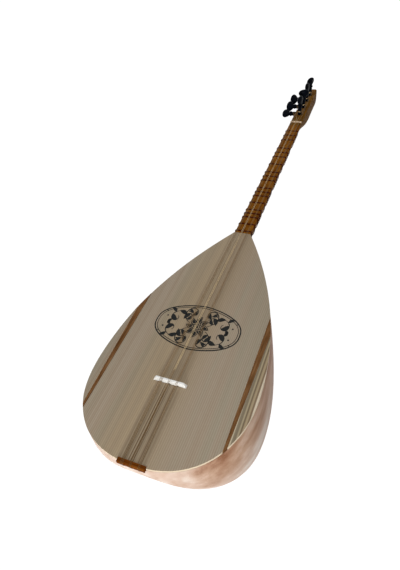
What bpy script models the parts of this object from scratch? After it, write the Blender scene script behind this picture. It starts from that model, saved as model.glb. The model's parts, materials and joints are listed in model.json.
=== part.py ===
"""Short-neck saz: a carved-bowl plucked lute with tied frets and seven friction pegs.

Every piece is drawn in the instrument's own frame: the origin is the tail end of the face, +Y runs
along the strings to the head, +X is to the right seen from the front and +Z comes out of the face.
One root empty then lays the instrument on its back, on the belly of the bowl and the back of the head.
"""

import math

import bmesh
import bpy
from mathutils import Euler, Matrix, Vector

# Strings and frets
STRING_LENGTH = 0.700
BRIDGE_FROM_TAIL = 0.111
FRET_RATIOS = (
    18 / 17, 12 / 11, 9 / 8, 81 / 68, 27 / 22, 81 / 64, 4 / 3, 24 / 17, 16 / 11, 3 / 2,
    27 / 17, 18 / 11, 27 / 16, 16 / 9, 32 / 17, 64 / 33, 2 / 1, 36 / 17, 9 / 4,
)
FRET_BAND = 0.0026
FRET_CORD = 0.0009
STRING_DIAMETER = 0.00045
WINDING_TURNS = 3
WINDING_PITCH = 0.0010
COURSES = ((-1, 3), (0, 2), (1, 2))
COURSE_SPACING_BRIDGE = 0.011
COURSE_SPACING_NUT = 0.0078
STRING_SPACING = 0.0016

# Bowl and face
LAST_FRET_FROM_BOWL = 0.0051
BOWL_WIDTH = 0.2294
BOWL_DEPTH = 0.199
BOWL_WALL = 0.0045
WIDEST_FROM_TAIL = 0.1265
DEEPEST_FROM_TAIL = 0.1705
TAIL_LAND = 0.0005
OUTLINE_TAIL_POWER = 2.27
OUTLINE_NECK_POWER = 1.86
KEEL_TAIL_POWER = 1.86
KEEL_NECK_POWER = 1.76
BELLY_POWER = 4.1
BELLY_BULGE = 0.15
BOARD_THICKNESS = 0.004
BOARD_CROWN = 0.0006
STRIP_FROM_CENTRE = 0.0942
STRIP_WIDTH_AT_TAIL = 0.0033
STRIP_WIDTH_AT_NECK = 0.0092
WING_FOLD_FROM_CENTRE = 0.1032
WING_SLOPE = math.radians(12)
SOUND_HOLE_DIAMETER = 0.020
SOUND_HOLE_DROP = 0.066
BRACE_SHARES = (0.515, 0.72)
BRACE_WIDTH = 0.008
BRACE_HEIGHT = 0.012

# Neck and head
HEEL_WIDTH = 0.028
HEEL_DEPTH = 0.027
NECK_WIDTH_AT_NUT = 0.025
NECK_DEPTH_AT_NUT = 0.020
NECK_POWER = 2.3
NECK_EDGE_RADIUS = 0.0015
TENON_LENGTH = 0.030
HEAD_JOINT_BEFORE_NUT = 0.012
TONGUE_LENGTH = 0.020
HEAD_LENGTH = 0.206
HEAD_TIP_WIDTH = 0.021
HEAD_NOSE = 0.026
NOSE_LEVEL = 0.15
HEAD_TAPER_START = 0.15
HEAD_TAPER_SPAN = 0.6
HEAD_DEPTH = 0.043
HEAD_FACE_DROP = 0.010
NUT_THICKNESS = 0.004
NUT_RISE = 0.0022
NUT_SEAT = 0.0025

# Bridge and tail block
BRIDGE_BASE_LENGTH = 0.0465
BRIDGE_TOP_LENGTH = 0.039
BRIDGE_HEIGHT = 0.0062
BRIDGE_BASE_THICKNESS = 0.0048
BRIDGE_TOP_THICKNESS = 0.0024
BRIDGE_ARCHES = 3
BRIDGE_ARCH_WIDTH = 0.0030
TAIL_BLOCK_WIDTH = 0.037
TAIL_BLOCK_INLET = 0.003
TAIL_BLOCK_OVERHANG = 0.003
TAIL_BLOCK_RISE = 0.001
TAIL_BLOCK_DEPTH = 0.0045
TAIL_BLOCK_EDGE = 0.0008
HITCH_PIN_DIAMETER = 0.0016
HITCH_HEAD_DIAMETER = 0.0030
HITCH_HEAD_THICKNESS = 0.0007
HITCH_STAND_OFF = 0.0012
HITCH_SEAT = 0.0035
HITCH_BELOW_BLOCK = 0.0033

# Pegs
FRONT_PEGS = 4
SIDE_PEGS = 3
PEG_SPACING = 0.037
SIDE_PEG_AFTER_FRONT = 0.022
FIRST_PEG_FROM_NUT = 0.040
PEG_SHAFT_DIAMETER = 0.0088
PEG_TAPER = 0.05
FRONT_PEG_RISE = 0.024
SIDE_PEG_RISE = 0.0155
SIDE_PEG_BELOW_FACE = 0.010
PEG_HANDLE_WIDTH = 0.023
PEG_HANDLE_HEIGHT = 0.018
PEG_HANDLE_THICKNESS = 0.0096
FRONT_HANDLE_TURNS = (math.radians(80), math.radians(20), math.radians(92), math.radians(62))
SIDE_HANDLE_TURNS = (math.radians(-20), math.radians(-48), math.radians(-58))

# Clearance between touching pieces, and how finely round shapes are cut
GAP = 0.0003
TAIL_STATIONS = 10
NECK_STATIONS = 12
BELLY_STEPS = 32
NECK_STEPS = 10
HEAD_STATIONS = 13
PEG_STEPS = 12
TURN_STEPS = 10
LINE_ROUNDS = 12

# The last fret is tied round the neck just clear of the bowl
BOWL_LENGTH = BRIDGE_FROM_TAIL + STRING_LENGTH / FRET_RATIOS[-1] - LAST_FRET_FROM_BOWL
NUT_Y = BRIDGE_FROM_TAIL + STRING_LENGTH
HEAD_JOINT_Y = NUT_Y - HEAD_JOINT_BEFORE_NUT
HITCH_DROP = TAIL_BLOCK_DEPTH + HITCH_BELOW_BLOCK
HALF_WIDTH = BOWL_WIDTH / 2
STRING_RADIUS = STRING_DIAMETER / 2
PEG_RADIUS = PEG_SHAFT_DIAMETER / 2


def clear_scene():
    for old in list(bpy.data.objects):
        bpy.data.objects.remove(old)


def collection(name):
    made = bpy.data.collections.new(name)
    bpy.context.scene.collection.children.link(made)
    return made


clear_scene()
PARTS = collection("short_neck_saz")
CUTTERS = collection("cutters")
ROOT = bpy.data.objects.new("saz_root", None)
PARTS.objects.link(ROOT)


def material(name, colour, roughness, metallic=0.0):
    made = bpy.data.materials.new(name)
    made.use_nodes = True
    shader = made.node_tree.nodes["Principled BSDF"]
    shader.inputs["Base Color"].default_value = (*colour, 1)
    shader.inputs["Roughness"].default_value = roughness
    shader.inputs["Metallic"].default_value = metallic
    return made


BOWL_WOOD = material("pale_bowl_wood", (0.62, 0.42, 0.29), 0.4)
SPRUCE = material("soundboard_spruce", (0.44, 0.36, 0.24), 0.5)
STRIP_WOOD = material("dark_strip_wood", (0.20, 0.08, 0.03), 0.4)
NECK_WOOD = material("neck_wood", (0.27, 0.12, 0.03), 0.4)
HEAD_WOOD = material("head_wood", (0.30, 0.14, 0.05), 0.4)
NUT_BONE = material("nut_bone", (0.60, 0.44, 0.28), 0.4)
BRIDGE_WHITE = material("bridge_white", (0.85, 0.85, 0.82), 0.5)
BLOCK_WOOD = material("tail_block_wood", (0.18, 0.06, 0.01), 0.4)
PEG_BLACK = material("peg_black", (0.012, 0.012, 0.018), 0.3)
FRET_NYLON = material("fret_nylon", (0.06, 0.02, 0.01), 0.5)
STRING_STEEL = material("string_steel", (0.6, 0.6, 0.58), 0.3, 1.0)


def place(obj, finish, parent=ROOT):
    PARTS.objects.link(obj)
    obj.data.materials.append(finish)
    obj.parent = parent
    return obj


def piece(name, shape, finish, smooth=True, angle=40):
    """A node from a bmesh."""
    mesh = bpy.data.meshes.new(name)
    bmesh.ops.recalc_face_normals(shape, faces=shape.faces)
    shape.to_mesh(mesh)
    shape.free()
    if smooth:
        mesh.shade_smooth()
        mesh.set_sharp_from_angle(angle=math.radians(angle))
    return place(bpy.data.objects.new(name, mesh), finish)


def cutter(name, shape):
    mesh = bpy.data.meshes.new(name)
    bmesh.ops.recalc_face_normals(shape, faces=shape.faces)
    shape.to_mesh(mesh)
    shape.free()
    obj = bpy.data.objects.new(name, mesh)
    CUTTERS.objects.link(obj)
    obj.parent = ROOT
    obj.hide_render = True
    obj.display_type = "WIRE"
    return obj


def cut(obj, *tools):
    for tool in tools:
        made = obj.modifiers.new("cut_" + tool.name, "BOOLEAN")
        made.operation = "DIFFERENCE"
        made.object = tool


def box(low, high):
    shape = bmesh.new()
    bmesh.ops.create_cube(shape, size=1)
    low, high = Vector(low), Vector(high)
    size = high - low
    bmesh.ops.scale(shape, vec=size, verts=shape.verts)
    bmesh.ops.translate(shape, vec=(low + high) / 2, verts=shape.verts)
    return shape


def rod(start, end, radius_start, radius_end, sides=PEG_STEPS):
    """A straight round bar, tapered from one radius to the other."""
    shape = bmesh.new()
    axis = Vector(end) - Vector(start)
    bmesh.ops.create_cone(
        shape, cap_ends=True, segments=sides, radius1=radius_start, radius2=radius_end, depth=axis.length
    )
    turn = axis.to_track_quat("Z", "Y").to_matrix().to_4x4()
    middle = (Vector(start) + Vector(end)) / 2
    bmesh.ops.transform(shape, matrix=Matrix.Translation(middle) @ turn, verts=shape.verts)
    return shape


def loft(rings):
    """A closed skin over rings of equal point counts, capped at both ends."""
    shape = bmesh.new()
    rows = [[shape.verts.new(point) for point in ring] for ring in rings]
    for one, two in zip(rows, rows[1:]):
        for index, corner in enumerate(one):
            after = (index + 1) % len(one)
            shape.faces.new((corner, one[after], two[after], two[index]))
    shape.faces.new(rows[0])
    shape.faces.new(rows[-1])
    return shape


def mix(start, end, share):
    return start + (end - start) * share


def ease(value):
    """0 to 1 with level ends."""
    value = min(max(value, 0.0), 1.0)
    return value * value * (3 - 2 * value)


# Outline of the face and section of the bowl


def outline_half_width(y):
    """Half the width of the bowl's rim at a distance from the tail."""
    if y < WIDEST_FROM_TAIL:
        share = (WIDEST_FROM_TAIL - y) / (WIDEST_FROM_TAIL + TAIL_LAND)
        return HALF_WIDTH * (1 - share**OUTLINE_TAIL_POWER) ** (1 / OUTLINE_TAIL_POWER)
    share = (y - WIDEST_FROM_TAIL) / (BOWL_LENGTH - WIDEST_FROM_TAIL)
    return HALF_WIDTH - (HALF_WIDTH - HEEL_WIDTH / 2) * share**OUTLINE_NECK_POWER


def outline_low(x):
    """Where the rim passes a half width on the tail side."""
    share = (1 - (abs(x) / HALF_WIDTH) ** OUTLINE_TAIL_POWER) ** (1 / OUTLINE_TAIL_POWER)
    return max(0.0, WIDEST_FROM_TAIL - (WIDEST_FROM_TAIL + TAIL_LAND) * share)


def outline_high(x):
    """Where the rim passes a half width on the neck side."""
    share = (HALF_WIDTH - abs(x)) / (HALF_WIDTH - HEEL_WIDTH / 2)
    return min(BOWL_LENGTH, WIDEST_FROM_TAIL + (BOWL_LENGTH - WIDEST_FROM_TAIL) * share ** (1 / OUTLINE_NECK_POWER))


def face_height(x):
    """Height of the face: a slight crown, then the wings fall away outside the strips."""
    crown = BOARD_CROWN * min(abs(x) / STRIP_FROM_CENTRE, 1.0) ** 2
    return -crown - max(0.0, abs(x) - WING_FOLD_FROM_CENTRE) * math.tan(WING_SLOPE)


def strip_edge(y):
    """Outer edge of a strip, which widens from the tail to the neck."""
    tail, neck = outline_low(STRIP_FROM_CENTRE), outline_high(STRIP_FROM_CENTRE)
    return STRIP_FROM_CENTRE + mix(STRIP_WIDTH_AT_TAIL, STRIP_WIDTH_AT_NECK, (y - tail) / (neck - tail))


def keel_depth(y):
    if y < DEEPEST_FROM_TAIL:
        share = (DEEPEST_FROM_TAIL - y) / (DEEPEST_FROM_TAIL + TAIL_LAND)
        return BOWL_DEPTH * (1 - share**KEEL_TAIL_POWER) ** (1 / KEEL_TAIL_POWER)
    share = (y - DEEPEST_FROM_TAIL) / (BOWL_LENGTH - DEEPEST_FROM_TAIL)
    return HEEL_DEPTH + (BOWL_DEPTH - HEEL_DEPTH) * (1 - share**KEEL_NECK_POWER)


def half_section(half, top, bottom, power, bulge, steps):
    """Points (x, z) from the right rim round under to the left one, on half a superellipse."""
    points = []
    for step in range(steps + 1):
        angle = math.pi * step / steps
        across, down = math.cos(angle), math.sin(angle)
        reach = (abs(across) ** power + down**power) ** (-1 / power)
        swell = 1 + bulge * down * across * across
        points.append((half * across * reach * swell, top + (bottom - top) * down * reach))
    return points


def rim_height(y):
    return face_height(outline_half_width(y)) - BOARD_THICKNESS - GAP


def bowl_section(y):
    heel = ease((y - DEEPEST_FROM_TAIL) / (BOWL_LENGTH - DEEPEST_FROM_TAIL))
    power = mix(BELLY_POWER, NECK_POWER, heel)
    bulge = BELLY_BULGE * (1 - heel)
    return half_section(outline_half_width(y), rim_height(y), -keel_depth(y), power, bulge, BELLY_STEPS)


def bowl_stations():
    """Close together at the blunt tail, even towards the neck."""
    tail = [
        DEEPEST_FROM_TAIL * (1 - math.cos(math.pi / 2 * step / TAIL_STATIONS)) for step in range(TAIL_STATIONS)
    ]
    rest = BOWL_LENGTH - DEEPEST_FROM_TAIL
    return tail + [DEEPEST_FROM_TAIL + rest * step / NECK_STATIONS for step in range(NECK_STATIONS + 1)]


def make_tail_inlet():
    """The seat of the tail block, cut in the face and in the bowl's end."""
    half = TAIL_BLOCK_WIDTH / 2 + GAP
    low = (-half, -TAIL_BLOCK_INLET, -TAIL_BLOCK_DEPTH - GAP)
    return cutter("tail_inlet", box(low, (half, TAIL_BLOCK_INLET + GAP, TAIL_BLOCK_DEPTH)))


def make_hitch_holes():
    """Blind holes for the hitch pins in the flat land at the bowl's tail."""
    radius = HITCH_PIN_DIAMETER / 2 + GAP
    deep = HITCH_SEAT + GAP
    return [
        cutter("hitch_hole_%d" % (number + 1), rod(
            (x, -deep, -HITCH_DROP), (x, deep, -HITCH_DROP), radius, radius
        ))
        for number, x in enumerate(hitch_places())
    ]


def make_bowl(tail_inlet):
    """The carved shell: an open skin lofted from tail to heel, thickened inwards."""
    shape = bmesh.new()
    rows = [[shape.verts.new((x, y, z)) for x, z in bowl_section(y)] for y in bowl_stations()]
    shape.faces.new(rows[0])
    for one, two in zip(rows, rows[1:]):
        for index in range(BELLY_STEPS):
            shape.faces.new((one[index], two[index], two[index + 1], one[index + 1]))
    bowl = piece("bowl", shape, BOWL_WOOD)
    wall = bowl.modifiers.new("wall", "SOLIDIFY")
    wall.thickness = BOWL_WALL
    wall.offset = -1
    wall.use_even_offset = True
    drop = SOUND_HOLE_DROP
    radius = SOUND_HOLE_DIAMETER / 2
    hole = cutter("sound_hole", rod((0, -0.02, -drop), (0, DEEPEST_FROM_TAIL / 2, -drop), radius, radius, 20))
    cut(bowl, tail_inlet, hole, *make_hitch_holes())
    return bowl


def line_end(line, outline):
    """Where a line x(y) along the face meets the outline. A slanting one settles in a few rounds."""
    y = outline(line(WIDEST_FROM_TAIL))
    for _ in range(LINE_ROUNDS):
        y = outline(line(y))
    return line(y), y, face_height(line(y))


def board(name, lines, finish):
    """A board over lines x(y) along the face, each cut off by the outline at both ends."""
    shape = bmesh.new()
    ends = []
    for line in lines:
        low, high = line_end(line, outline_low), line_end(line, outline_high)
        near = shape.verts.new(low)
        far = near if high[1] - low[1] < GAP else shape.verts.new(high)
        ends.append((near, far))
    for (near, far), (next_near, next_far) in zip(ends, ends[1:]):
        corners = []
        for corner in (near, next_near, next_far, far):
            if corner not in corners:
                corners.append(corner)
        shape.faces.new(corners)
    bmesh.ops.recalc_face_normals(shape, faces=shape.faces)
    top = list(shape.faces)
    grown = bmesh.ops.extrude_face_region(shape, geom=top, use_keep_orig=True)
    lower = [item for item in grown["geom"] if isinstance(item, bmesh.types.BMVert)]
    bmesh.ops.translate(shape, vec=(0, 0, -BOARD_THICKNESS), verts=lower)
    return piece(name, shape, finish)


def spread(start, end, steps):
    return [mix(start, end, step / steps) for step in range(steps + 1)]


def straight(x):
    return lambda y: x


def beside(side, start, end, share):
    """A line between two lines x(y), on one side of the face."""
    return lambda y: side * mix(start(y), end(y), share)


def make_face(tail_inlet):
    """The centre board, the two inlaid strips and the two sloped wings outside them."""
    edge = STRIP_FROM_CENTRE - GAP
    land = outline_half_width(0)
    half = spread(0, HEEL_WIDTH / 2, 2) + [land] + spread(land, edge, 9)[1:]
    soundboard = board("soundboard", [straight(x) for x in [-x for x in reversed(half[1:])] + half], SPRUCE)
    cut(soundboard, tail_inlet)
    inner, fold, rim = straight(STRIP_FROM_CENTRE), straight(WING_FOLD_FROM_CENTRE), straight(HALF_WIDTH)
    swing = [math.sin(math.pi / 2 * step / 6) for step in range(1, 7)]
    for side, word in ((-1, "left"), (1, "right")):
        strip = [beside(side, inner, strip_edge, share) for share in (0, 0.5, 1)]
        board("strip_" + word, strip, STRIP_WOOD)
        flat = [beside(side, lambda y: strip_edge(y) + GAP, fold, share) for share in (0, 0.5, 1)]
        board("wing_" + word, flat + [beside(side, fold, rim, share) for share in swing], SPRUCE)


def make_braces():
    """Two bars glued across the underside of the centre board."""
    for number, share in enumerate(BRACE_SHARES, 1):
        y = share * BOWL_LENGTH
        narrow = outline_half_width(y + BRACE_WIDTH / 2)
        half = min(narrow - 2 * BOWL_WALL, STRIP_FROM_CENTRE - GAP)
        top = face_height(half) - BOARD_THICKNESS - GAP
        low = (-half, y - BRACE_WIDTH / 2, top - BRACE_HEIGHT)
        shape = box(low, (half, y + BRACE_WIDTH / 2, top))
        for vert in shape.verts:
            if vert.co.z < top - BRACE_HEIGHT / 2:
                vert.co.x *= 1 - BRACE_HEIGHT / half
                vert.co.y = y + (vert.co.y - y) / 2
        piece("brace_%d" % number, shape, SPRUCE, smooth=False)


# Neck and head


def along_neck(y):
    return (y - BOWL_LENGTH) / (NUT_Y - BOWL_LENGTH)


def neck_half_width(y):
    return mix(HEEL_WIDTH, NECK_WIDTH_AT_NUT, along_neck(y)) / 2


def neck_depth(y):
    return mix(HEEL_DEPTH, NECK_DEPTH_AT_NUT, along_neck(y))


def neck_ring(y, grow=0.0):
    """The neck's closed D section at a station, grown outwards by a distance."""
    half = neck_half_width(y) + grow
    radius = NECK_EDGE_RADIUS
    soft = 0.3 * radius
    under = half_section(half, -radius, -neck_depth(y) - grow, NECK_POWER, 0, NECK_STEPS)
    right = [(half - radius, grow), (half - soft, grow - soft)]
    left = [(-half + soft, grow - soft), (-half + radius, grow)]
    return [(x, y, z) for x, z in right + under + left]


def inner_ring(y, side, top, bottom):
    """A smaller D section for the tenon and the tongue, with as many points as the neck's."""
    radius = NECK_EDGE_RADIUS
    soft = 0.3 * radius
    under = half_section(side, top - radius, bottom, NECK_POWER, 0, NECK_STEPS)
    right = [(side - radius, top), (side - soft, top - soft)]
    left = [(-side + soft, top - soft), (-side + radius, top)]
    return [(x, y, z) for x, z in right + under + left]


def tongue_ring(y, grow=0.0):
    side = NECK_WIDTH_AT_NUT / 4 + grow
    top = -2 * NUT_SEAT
    return inner_ring(y, side, top + grow, -0.8 * NECK_DEPTH_AT_NUT - grow)


def make_neck():
    """The neck with its tenon, which is glued into the bowl's heel, and its tongue into the head."""
    start = BOWL_LENGTH + GAP
    tenon_side = HEEL_WIDTH / 2 - 1.5 * BOWL_WALL
    tenon_top = -BOARD_THICKNESS - BOARD_CROWN - GAP
    tenon_bottom = 2 * BOWL_WALL - HEEL_DEPTH
    rings = [
        inner_ring(start - TENON_LENGTH, tenon_side, tenon_top, tenon_bottom),
        inner_ring(start, tenon_side, tenon_top, tenon_bottom),
        neck_ring(start),
        neck_ring(HEAD_JOINT_Y),
        tongue_ring(HEAD_JOINT_Y),
        tongue_ring(HEAD_JOINT_Y + TONGUE_LENGTH),
    ]
    return piece("neck", loft(rings), NECK_WOOD)


def along_head(y):
    return (y - NUT_Y) / HEAD_LENGTH


def head_half_width(y):
    waist = ease((along_head(y) - HEAD_TAPER_START) / HEAD_TAPER_SPAN)
    return mix(NECK_WIDTH_AT_NUT, HEAD_TIP_WIDTH, waist) / 2


def head_face(y):
    return -HEAD_FACE_DROP * max(0.0, along_head(y)) ** 2.2


def head_back(y):
    swell = ease((y - HEAD_JOINT_Y) / (0.55 * HEAD_LENGTH))
    return -mix(NECK_DEPTH_AT_NUT, HEAD_DEPTH, swell)


def head_ring(y, shrink=1.0):
    """A section with a flat face and sides; its back is round at the neck and squarer at the pegs."""
    half = head_half_width(y) * shrink
    middle = mix(head_face(y), head_back(y), NOSE_LEVEL)
    top = middle + (head_face(y) - middle) * shrink
    bottom = middle + (head_back(y) - middle) * shrink
    square = ease((y - HEAD_JOINT_Y) / (0.3 * HEAD_LENGTH))
    power = mix(NECK_POWER, 5.0, square)
    radius = NECK_EDGE_RADIUS
    soft = 0.3 * radius
    under = half_section(half, top - radius, bottom, power, 0, NECK_STEPS)
    right = [(half - radius, top), (half - soft, top - soft)]
    left = [(-half + soft, top - soft), (-half + radius, top)]
    return [(x, y, z) for x, z in right + under + left]


def head_rings():
    """Even stations, then a rounded nose."""
    nose = HEAD_NOSE
    tip = NUT_Y + HEAD_LENGTH
    rings = [head_ring(y) for y in spread(HEAD_JOINT_Y + GAP, tip - nose, HEAD_STATIONS)]
    for step in (1, 2, 3):
        angle = math.pi / 2 * step / 3.4
        rings.append(head_ring(tip - nose + nose * math.sin(angle), math.cos(angle)))
    return rings


def front_peg_y(index):
    return NUT_Y + FIRST_PEG_FROM_NUT + index * PEG_SPACING


def side_peg_y(index):
    return front_peg_y(index) + SIDE_PEG_AFTER_FRONT


def peg_radius(height):
    """Radius of the tapered shaft at a height above its seat, which is negative inside the head."""
    return PEG_RADIUS + min(height, 0.0) * PEG_TAPER / 2


def front_peg_reach(index):
    """How deep a front peg's shaft goes, ending just inside the head's back."""
    y = front_peg_y(index)
    return head_face(y) - head_back(y) - 4 * GAP


def side_peg_reach(index):
    return 2 * head_half_width(side_peg_y(index)) - 4 * GAP


def make_head():
    """The head, glued on the neck's tongue, with a seat for the nut and a tapered hole for each peg."""
    head = piece("head", loft(head_rings()), HEAD_WOOD)
    mortise = cutter("tongue_mortise", loft([
        tongue_ring(HEAD_JOINT_Y - TONGUE_LENGTH, GAP),
        tongue_ring(HEAD_JOINT_Y + TONGUE_LENGTH + GAP, GAP),
    ]))
    half = NECK_WIDTH_AT_NUT
    low = (-half, NUT_Y - GAP, -NUT_SEAT - GAP)
    seat = cutter("nut_seat", box(low, (half, NUT_Y + NUT_THICKNESS + GAP, HEAD_DEPTH)))
    holes = []
    for index in range(FRONT_PEGS):
        y = front_peg_y(index)
        high, deep = head_face(y), front_peg_reach(index)
        wide, narrow = peg_radius(deep) + GAP, peg_radius(-2 * deep) + GAP
        holes.append(cutter("front_hole_%d" % (index + 1), rod(
            (0, y, high + deep), (0, y, high - 2 * deep), wide + deep * PEG_TAPER / 2, narrow
        )))
    for index in range(SIDE_PEGS):
        y, deep = side_peg_y(index), side_peg_reach(index)
        edge = -head_half_width(y)
        wide, narrow = peg_radius(deep) + GAP, peg_radius(-2 * deep) + GAP
        level = -SIDE_PEG_BELOW_FACE
        holes.append(cutter("side_hole_%d" % (index + 1), rod(
            (edge - deep, y, level), (edge + 2 * deep, y, level), wide + deep * PEG_TAPER / 2, narrow
        )))
    cut(head, mortise, seat, *holes)
    return head


def make_nut():
    half = NECK_WIDTH_AT_NUT / 2 - GAP
    nut = piece("nut", box((-half, NUT_Y, -NUT_SEAT), (half, NUT_Y + NUT_THICKNESS, NUT_RISE)), NUT_BONE, False)
    edge = nut.modifiers.new("edge", "BEVEL")
    edge.width = 0.0006
    edge.segments = 1
    return nut


# Bridge and tail block


def make_bridge():
    """The loose bridge: a leaning-sided wedge with arches between its feet."""
    low = (-BRIDGE_BASE_LENGTH / 2, -BRIDGE_BASE_THICKNESS / 2, GAP)
    shape = box(low, (BRIDGE_BASE_LENGTH / 2, BRIDGE_BASE_THICKNESS / 2, BRIDGE_HEIGHT))
    for vert in shape.verts:
        if vert.co.z > BRIDGE_HEIGHT / 2:
            vert.co.x *= BRIDGE_TOP_LENGTH / BRIDGE_BASE_LENGTH
            vert.co.y *= BRIDGE_TOP_THICKNESS / BRIDGE_BASE_THICKNESS
    bridge = piece("bridge", shape, BRIDGE_WHITE, False)
    bridge.location.y = BRIDGE_FROM_TAIL
    pitch = BRIDGE_BASE_LENGTH / (BRIDGE_ARCHES + 1)
    for index in range(BRIDGE_ARCHES):
        x = (index - (BRIDGE_ARCHES - 1) / 2) * pitch
        reach = BRIDGE_BASE_THICKNESS
        start = (x, BRIDGE_FROM_TAIL - reach, 0)
        end = (x, BRIDGE_FROM_TAIL + reach, 0)
        radius = BRIDGE_ARCH_WIDTH / 2
        cut(bridge, cutter("bridge_arch_%d" % (index + 1), rod(start, end, radius, radius, 16)))
    return bridge


def make_tail_block():
    half = TAIL_BLOCK_WIDTH / 2
    low = (-half, -TAIL_BLOCK_OVERHANG, -TAIL_BLOCK_DEPTH)
    shape = box(low, (half, TAIL_BLOCK_INLET, TAIL_BLOCK_RISE))
    block = piece("tail_block", shape, BLOCK_WOOD, False)
    edge = block.modifiers.new("edge", "BEVEL")
    edge.width = TAIL_BLOCK_EDGE
    edge.segments = 1
    return block


def hitch_places():
    """One pin for each course, in line with it."""
    return [course * COURSE_SPACING_BRIDGE for course, _ in COURSES]


def make_hitch_pins():
    """Round-headed pins in the bowl's tail, which hold the strings' ends."""
    for number, x in enumerate(hitch_places(), 1):
        profile = (
            (0, -HITCH_SEAT), (HITCH_PIN_DIAMETER / 2, -HITCH_SEAT), (HITCH_PIN_DIAMETER / 2, HITCH_STAND_OFF),
            (HITCH_HEAD_DIAMETER / 2, HITCH_STAND_OFF),
            (HITCH_HEAD_DIAMETER / 2, HITCH_STAND_OFF + 0.6 * HITCH_HEAD_THICKNESS),
            (0.6 * HITCH_HEAD_DIAMETER / 2, HITCH_STAND_OFF + HITCH_HEAD_THICKNESS),
            (0, HITCH_STAND_OFF + HITCH_HEAD_THICKNESS),
        )
        shape = bmesh.new()
        points = [shape.verts.new((radius, 0, height)) for radius, height in reversed(profile)]
        for one, two in zip(points, points[1:]):
            shape.edges.new((one, two))
        pin = piece("hitch_pin_%d" % number, shape, STRING_STEEL)
        pin.location = (x, 0, -HITCH_DROP)
        pin.rotation_euler = (math.pi / 2, 0, 0)
        turned = pin.modifiers.new("turned", "SCREW")
        turned.steps = turned.render_steps = PEG_STEPS
        turned.use_merge_vertices = True
        turned.merge_threshold = 0.00001


# Pegs


def peg_sections(rise, reach):
    """Rings (height above the seat, half width, half thickness) of a turned shaft and its flat handle."""
    wide, thick = PEG_HANDLE_WIDTH / 2, PEG_HANDLE_THICKNESS / 2
    tall = PEG_HANDLE_HEIGHT
    shaft = PEG_RADIUS
    bead = 1.3 * shaft
    return (
        (-reach, peg_radius(-reach), peg_radius(-reach)),
        (0, shaft, shaft),
        (rise - 0.0035, shaft, shaft),
        (rise - 0.0028, bead, bead),
        (rise - 0.0010, bead, bead),
        (rise, 0.9 * shaft, 0.9 * shaft),
        (rise + 0.10 * tall, 1.3 * shaft, 0.85 * thick),
        (rise + 0.26 * tall, 0.78 * wide, 0.92 * thick),
        (rise + 0.46 * tall, 0.97 * wide, thick),
        (rise + 0.66 * tall, wide, 0.97 * thick),
        (rise + 0.84 * tall, 0.82 * wide, 0.8 * thick),
        (rise + 0.95 * tall, 0.5 * wide, 0.55 * thick),
        (rise + tall, 0.2 * wide, 0.25 * thick),
    )


def make_peg(name, seat, outwards, turn, rise, reach):
    """A tuning peg whose local Z is the axis it turns on, with its origin on its seat."""
    rings = []
    for height, wide, thick in peg_sections(rise, reach):
        angles = [2 * math.pi * step / PEG_STEPS for step in range(PEG_STEPS)]
        rings.append([(wide * math.cos(angle), thick * math.sin(angle), height) for angle in angles])
    peg = piece(name, loft(rings), PEG_BLACK, angle=60)
    peg.location = seat
    aim = Vector(outwards).to_track_quat("Z", "Y")
    peg.rotation_euler = (aim @ Euler((0, 0, turn)).to_quaternion()).to_euler()
    return peg


def make_pegs():
    for index, turn in enumerate(FRONT_HANDLE_TURNS):
        y = front_peg_y(index)
        seat = (0, y, head_face(y))
        make_peg("peg_front_%d" % (index + 1), seat, (0, 0, 1), turn, FRONT_PEG_RISE, front_peg_reach(index))
    for index, turn in enumerate(SIDE_HANDLE_TURNS):
        y = side_peg_y(index)
        seat = (-head_half_width(y), y, -SIDE_PEG_BELOW_FACE)
        make_peg("peg_side_%d" % (index + 1), seat, (-1, 0, 0), turn, SIDE_PEG_RISE, side_peg_reach(index))


# Frets and strings


def make_frets():
    """Tied gut: each band goes right round the neck, with a groove between its two turns."""
    half = FRET_BAND / 2
    inside, outside = GAP, GAP + FRET_CORD
    valley = mix(inside, outside, 0.75)
    profile = ((inside, -half), (inside, half), (outside, half), (valley, 0), (outside, -half))
    for number, ratio in enumerate(FRET_RATIOS, 1):
        station = BRIDGE_FROM_TAIL + STRING_LENGTH / ratio
        rings = []
        for grow, offset in profile:
            rings.append([(x, offset, z) for x, _, z in neck_ring(station, grow)])
        shape = bmesh.new()
        rows = [[shape.verts.new(point) for point in ring] for ring in rings]
        for row, one in enumerate(rows):
            two = rows[(row + 1) % len(rows)]
            for index, corner in enumerate(one):
                after = (index + 1) % len(one)
                shape.faces.new((corner, one[after], two[after], two[index]))
        fret = piece("fret_%02d" % number, shape, FRET_NYLON)
        fret.location.y = station


def winding_radius():
    """Centre line of the wire on a peg: clear of the shaft also in the middle of each chord."""
    return (PEG_RADIUS + GAP + STRING_RADIUS) / math.cos(math.pi / TURN_STEPS)


def turn_points(start_angle, way):
    """Angles and advances of a winding, from the point where the string meets the peg."""
    count = WINDING_TURNS * TURN_STEPS
    return [
        (start_angle + way * 2 * math.pi * step / TURN_STEPS, WINDING_PITCH * step / TURN_STEPS)
        for step in range(count + 1)
    ]


def front_winding(index, side):
    """Wire points round a front peg, entered on the given side of it."""
    y = front_peg_y(index)
    base = head_face(y) + PEG_RADIUS * 1.5
    radius = winding_radius()
    start = 0.0 if side > 0 else math.pi
    return [
        (radius * math.cos(angle), y + radius * math.sin(angle), base + advance)
        for angle, advance in turn_points(start, side)
    ]


def side_winding(index):
    """Wire points round a side peg, entered over its top and wound towards its handle."""
    y = side_peg_y(index)
    start_x = -head_half_width(y) - PEG_RADIUS
    radius = winding_radius()
    return [
        (start_x - advance, y + radius * math.cos(angle), radius * math.sin(angle) - SIDE_PEG_BELOW_FACE)
        for angle, advance in turn_points(math.pi / 2, -1)
    ]


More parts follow.
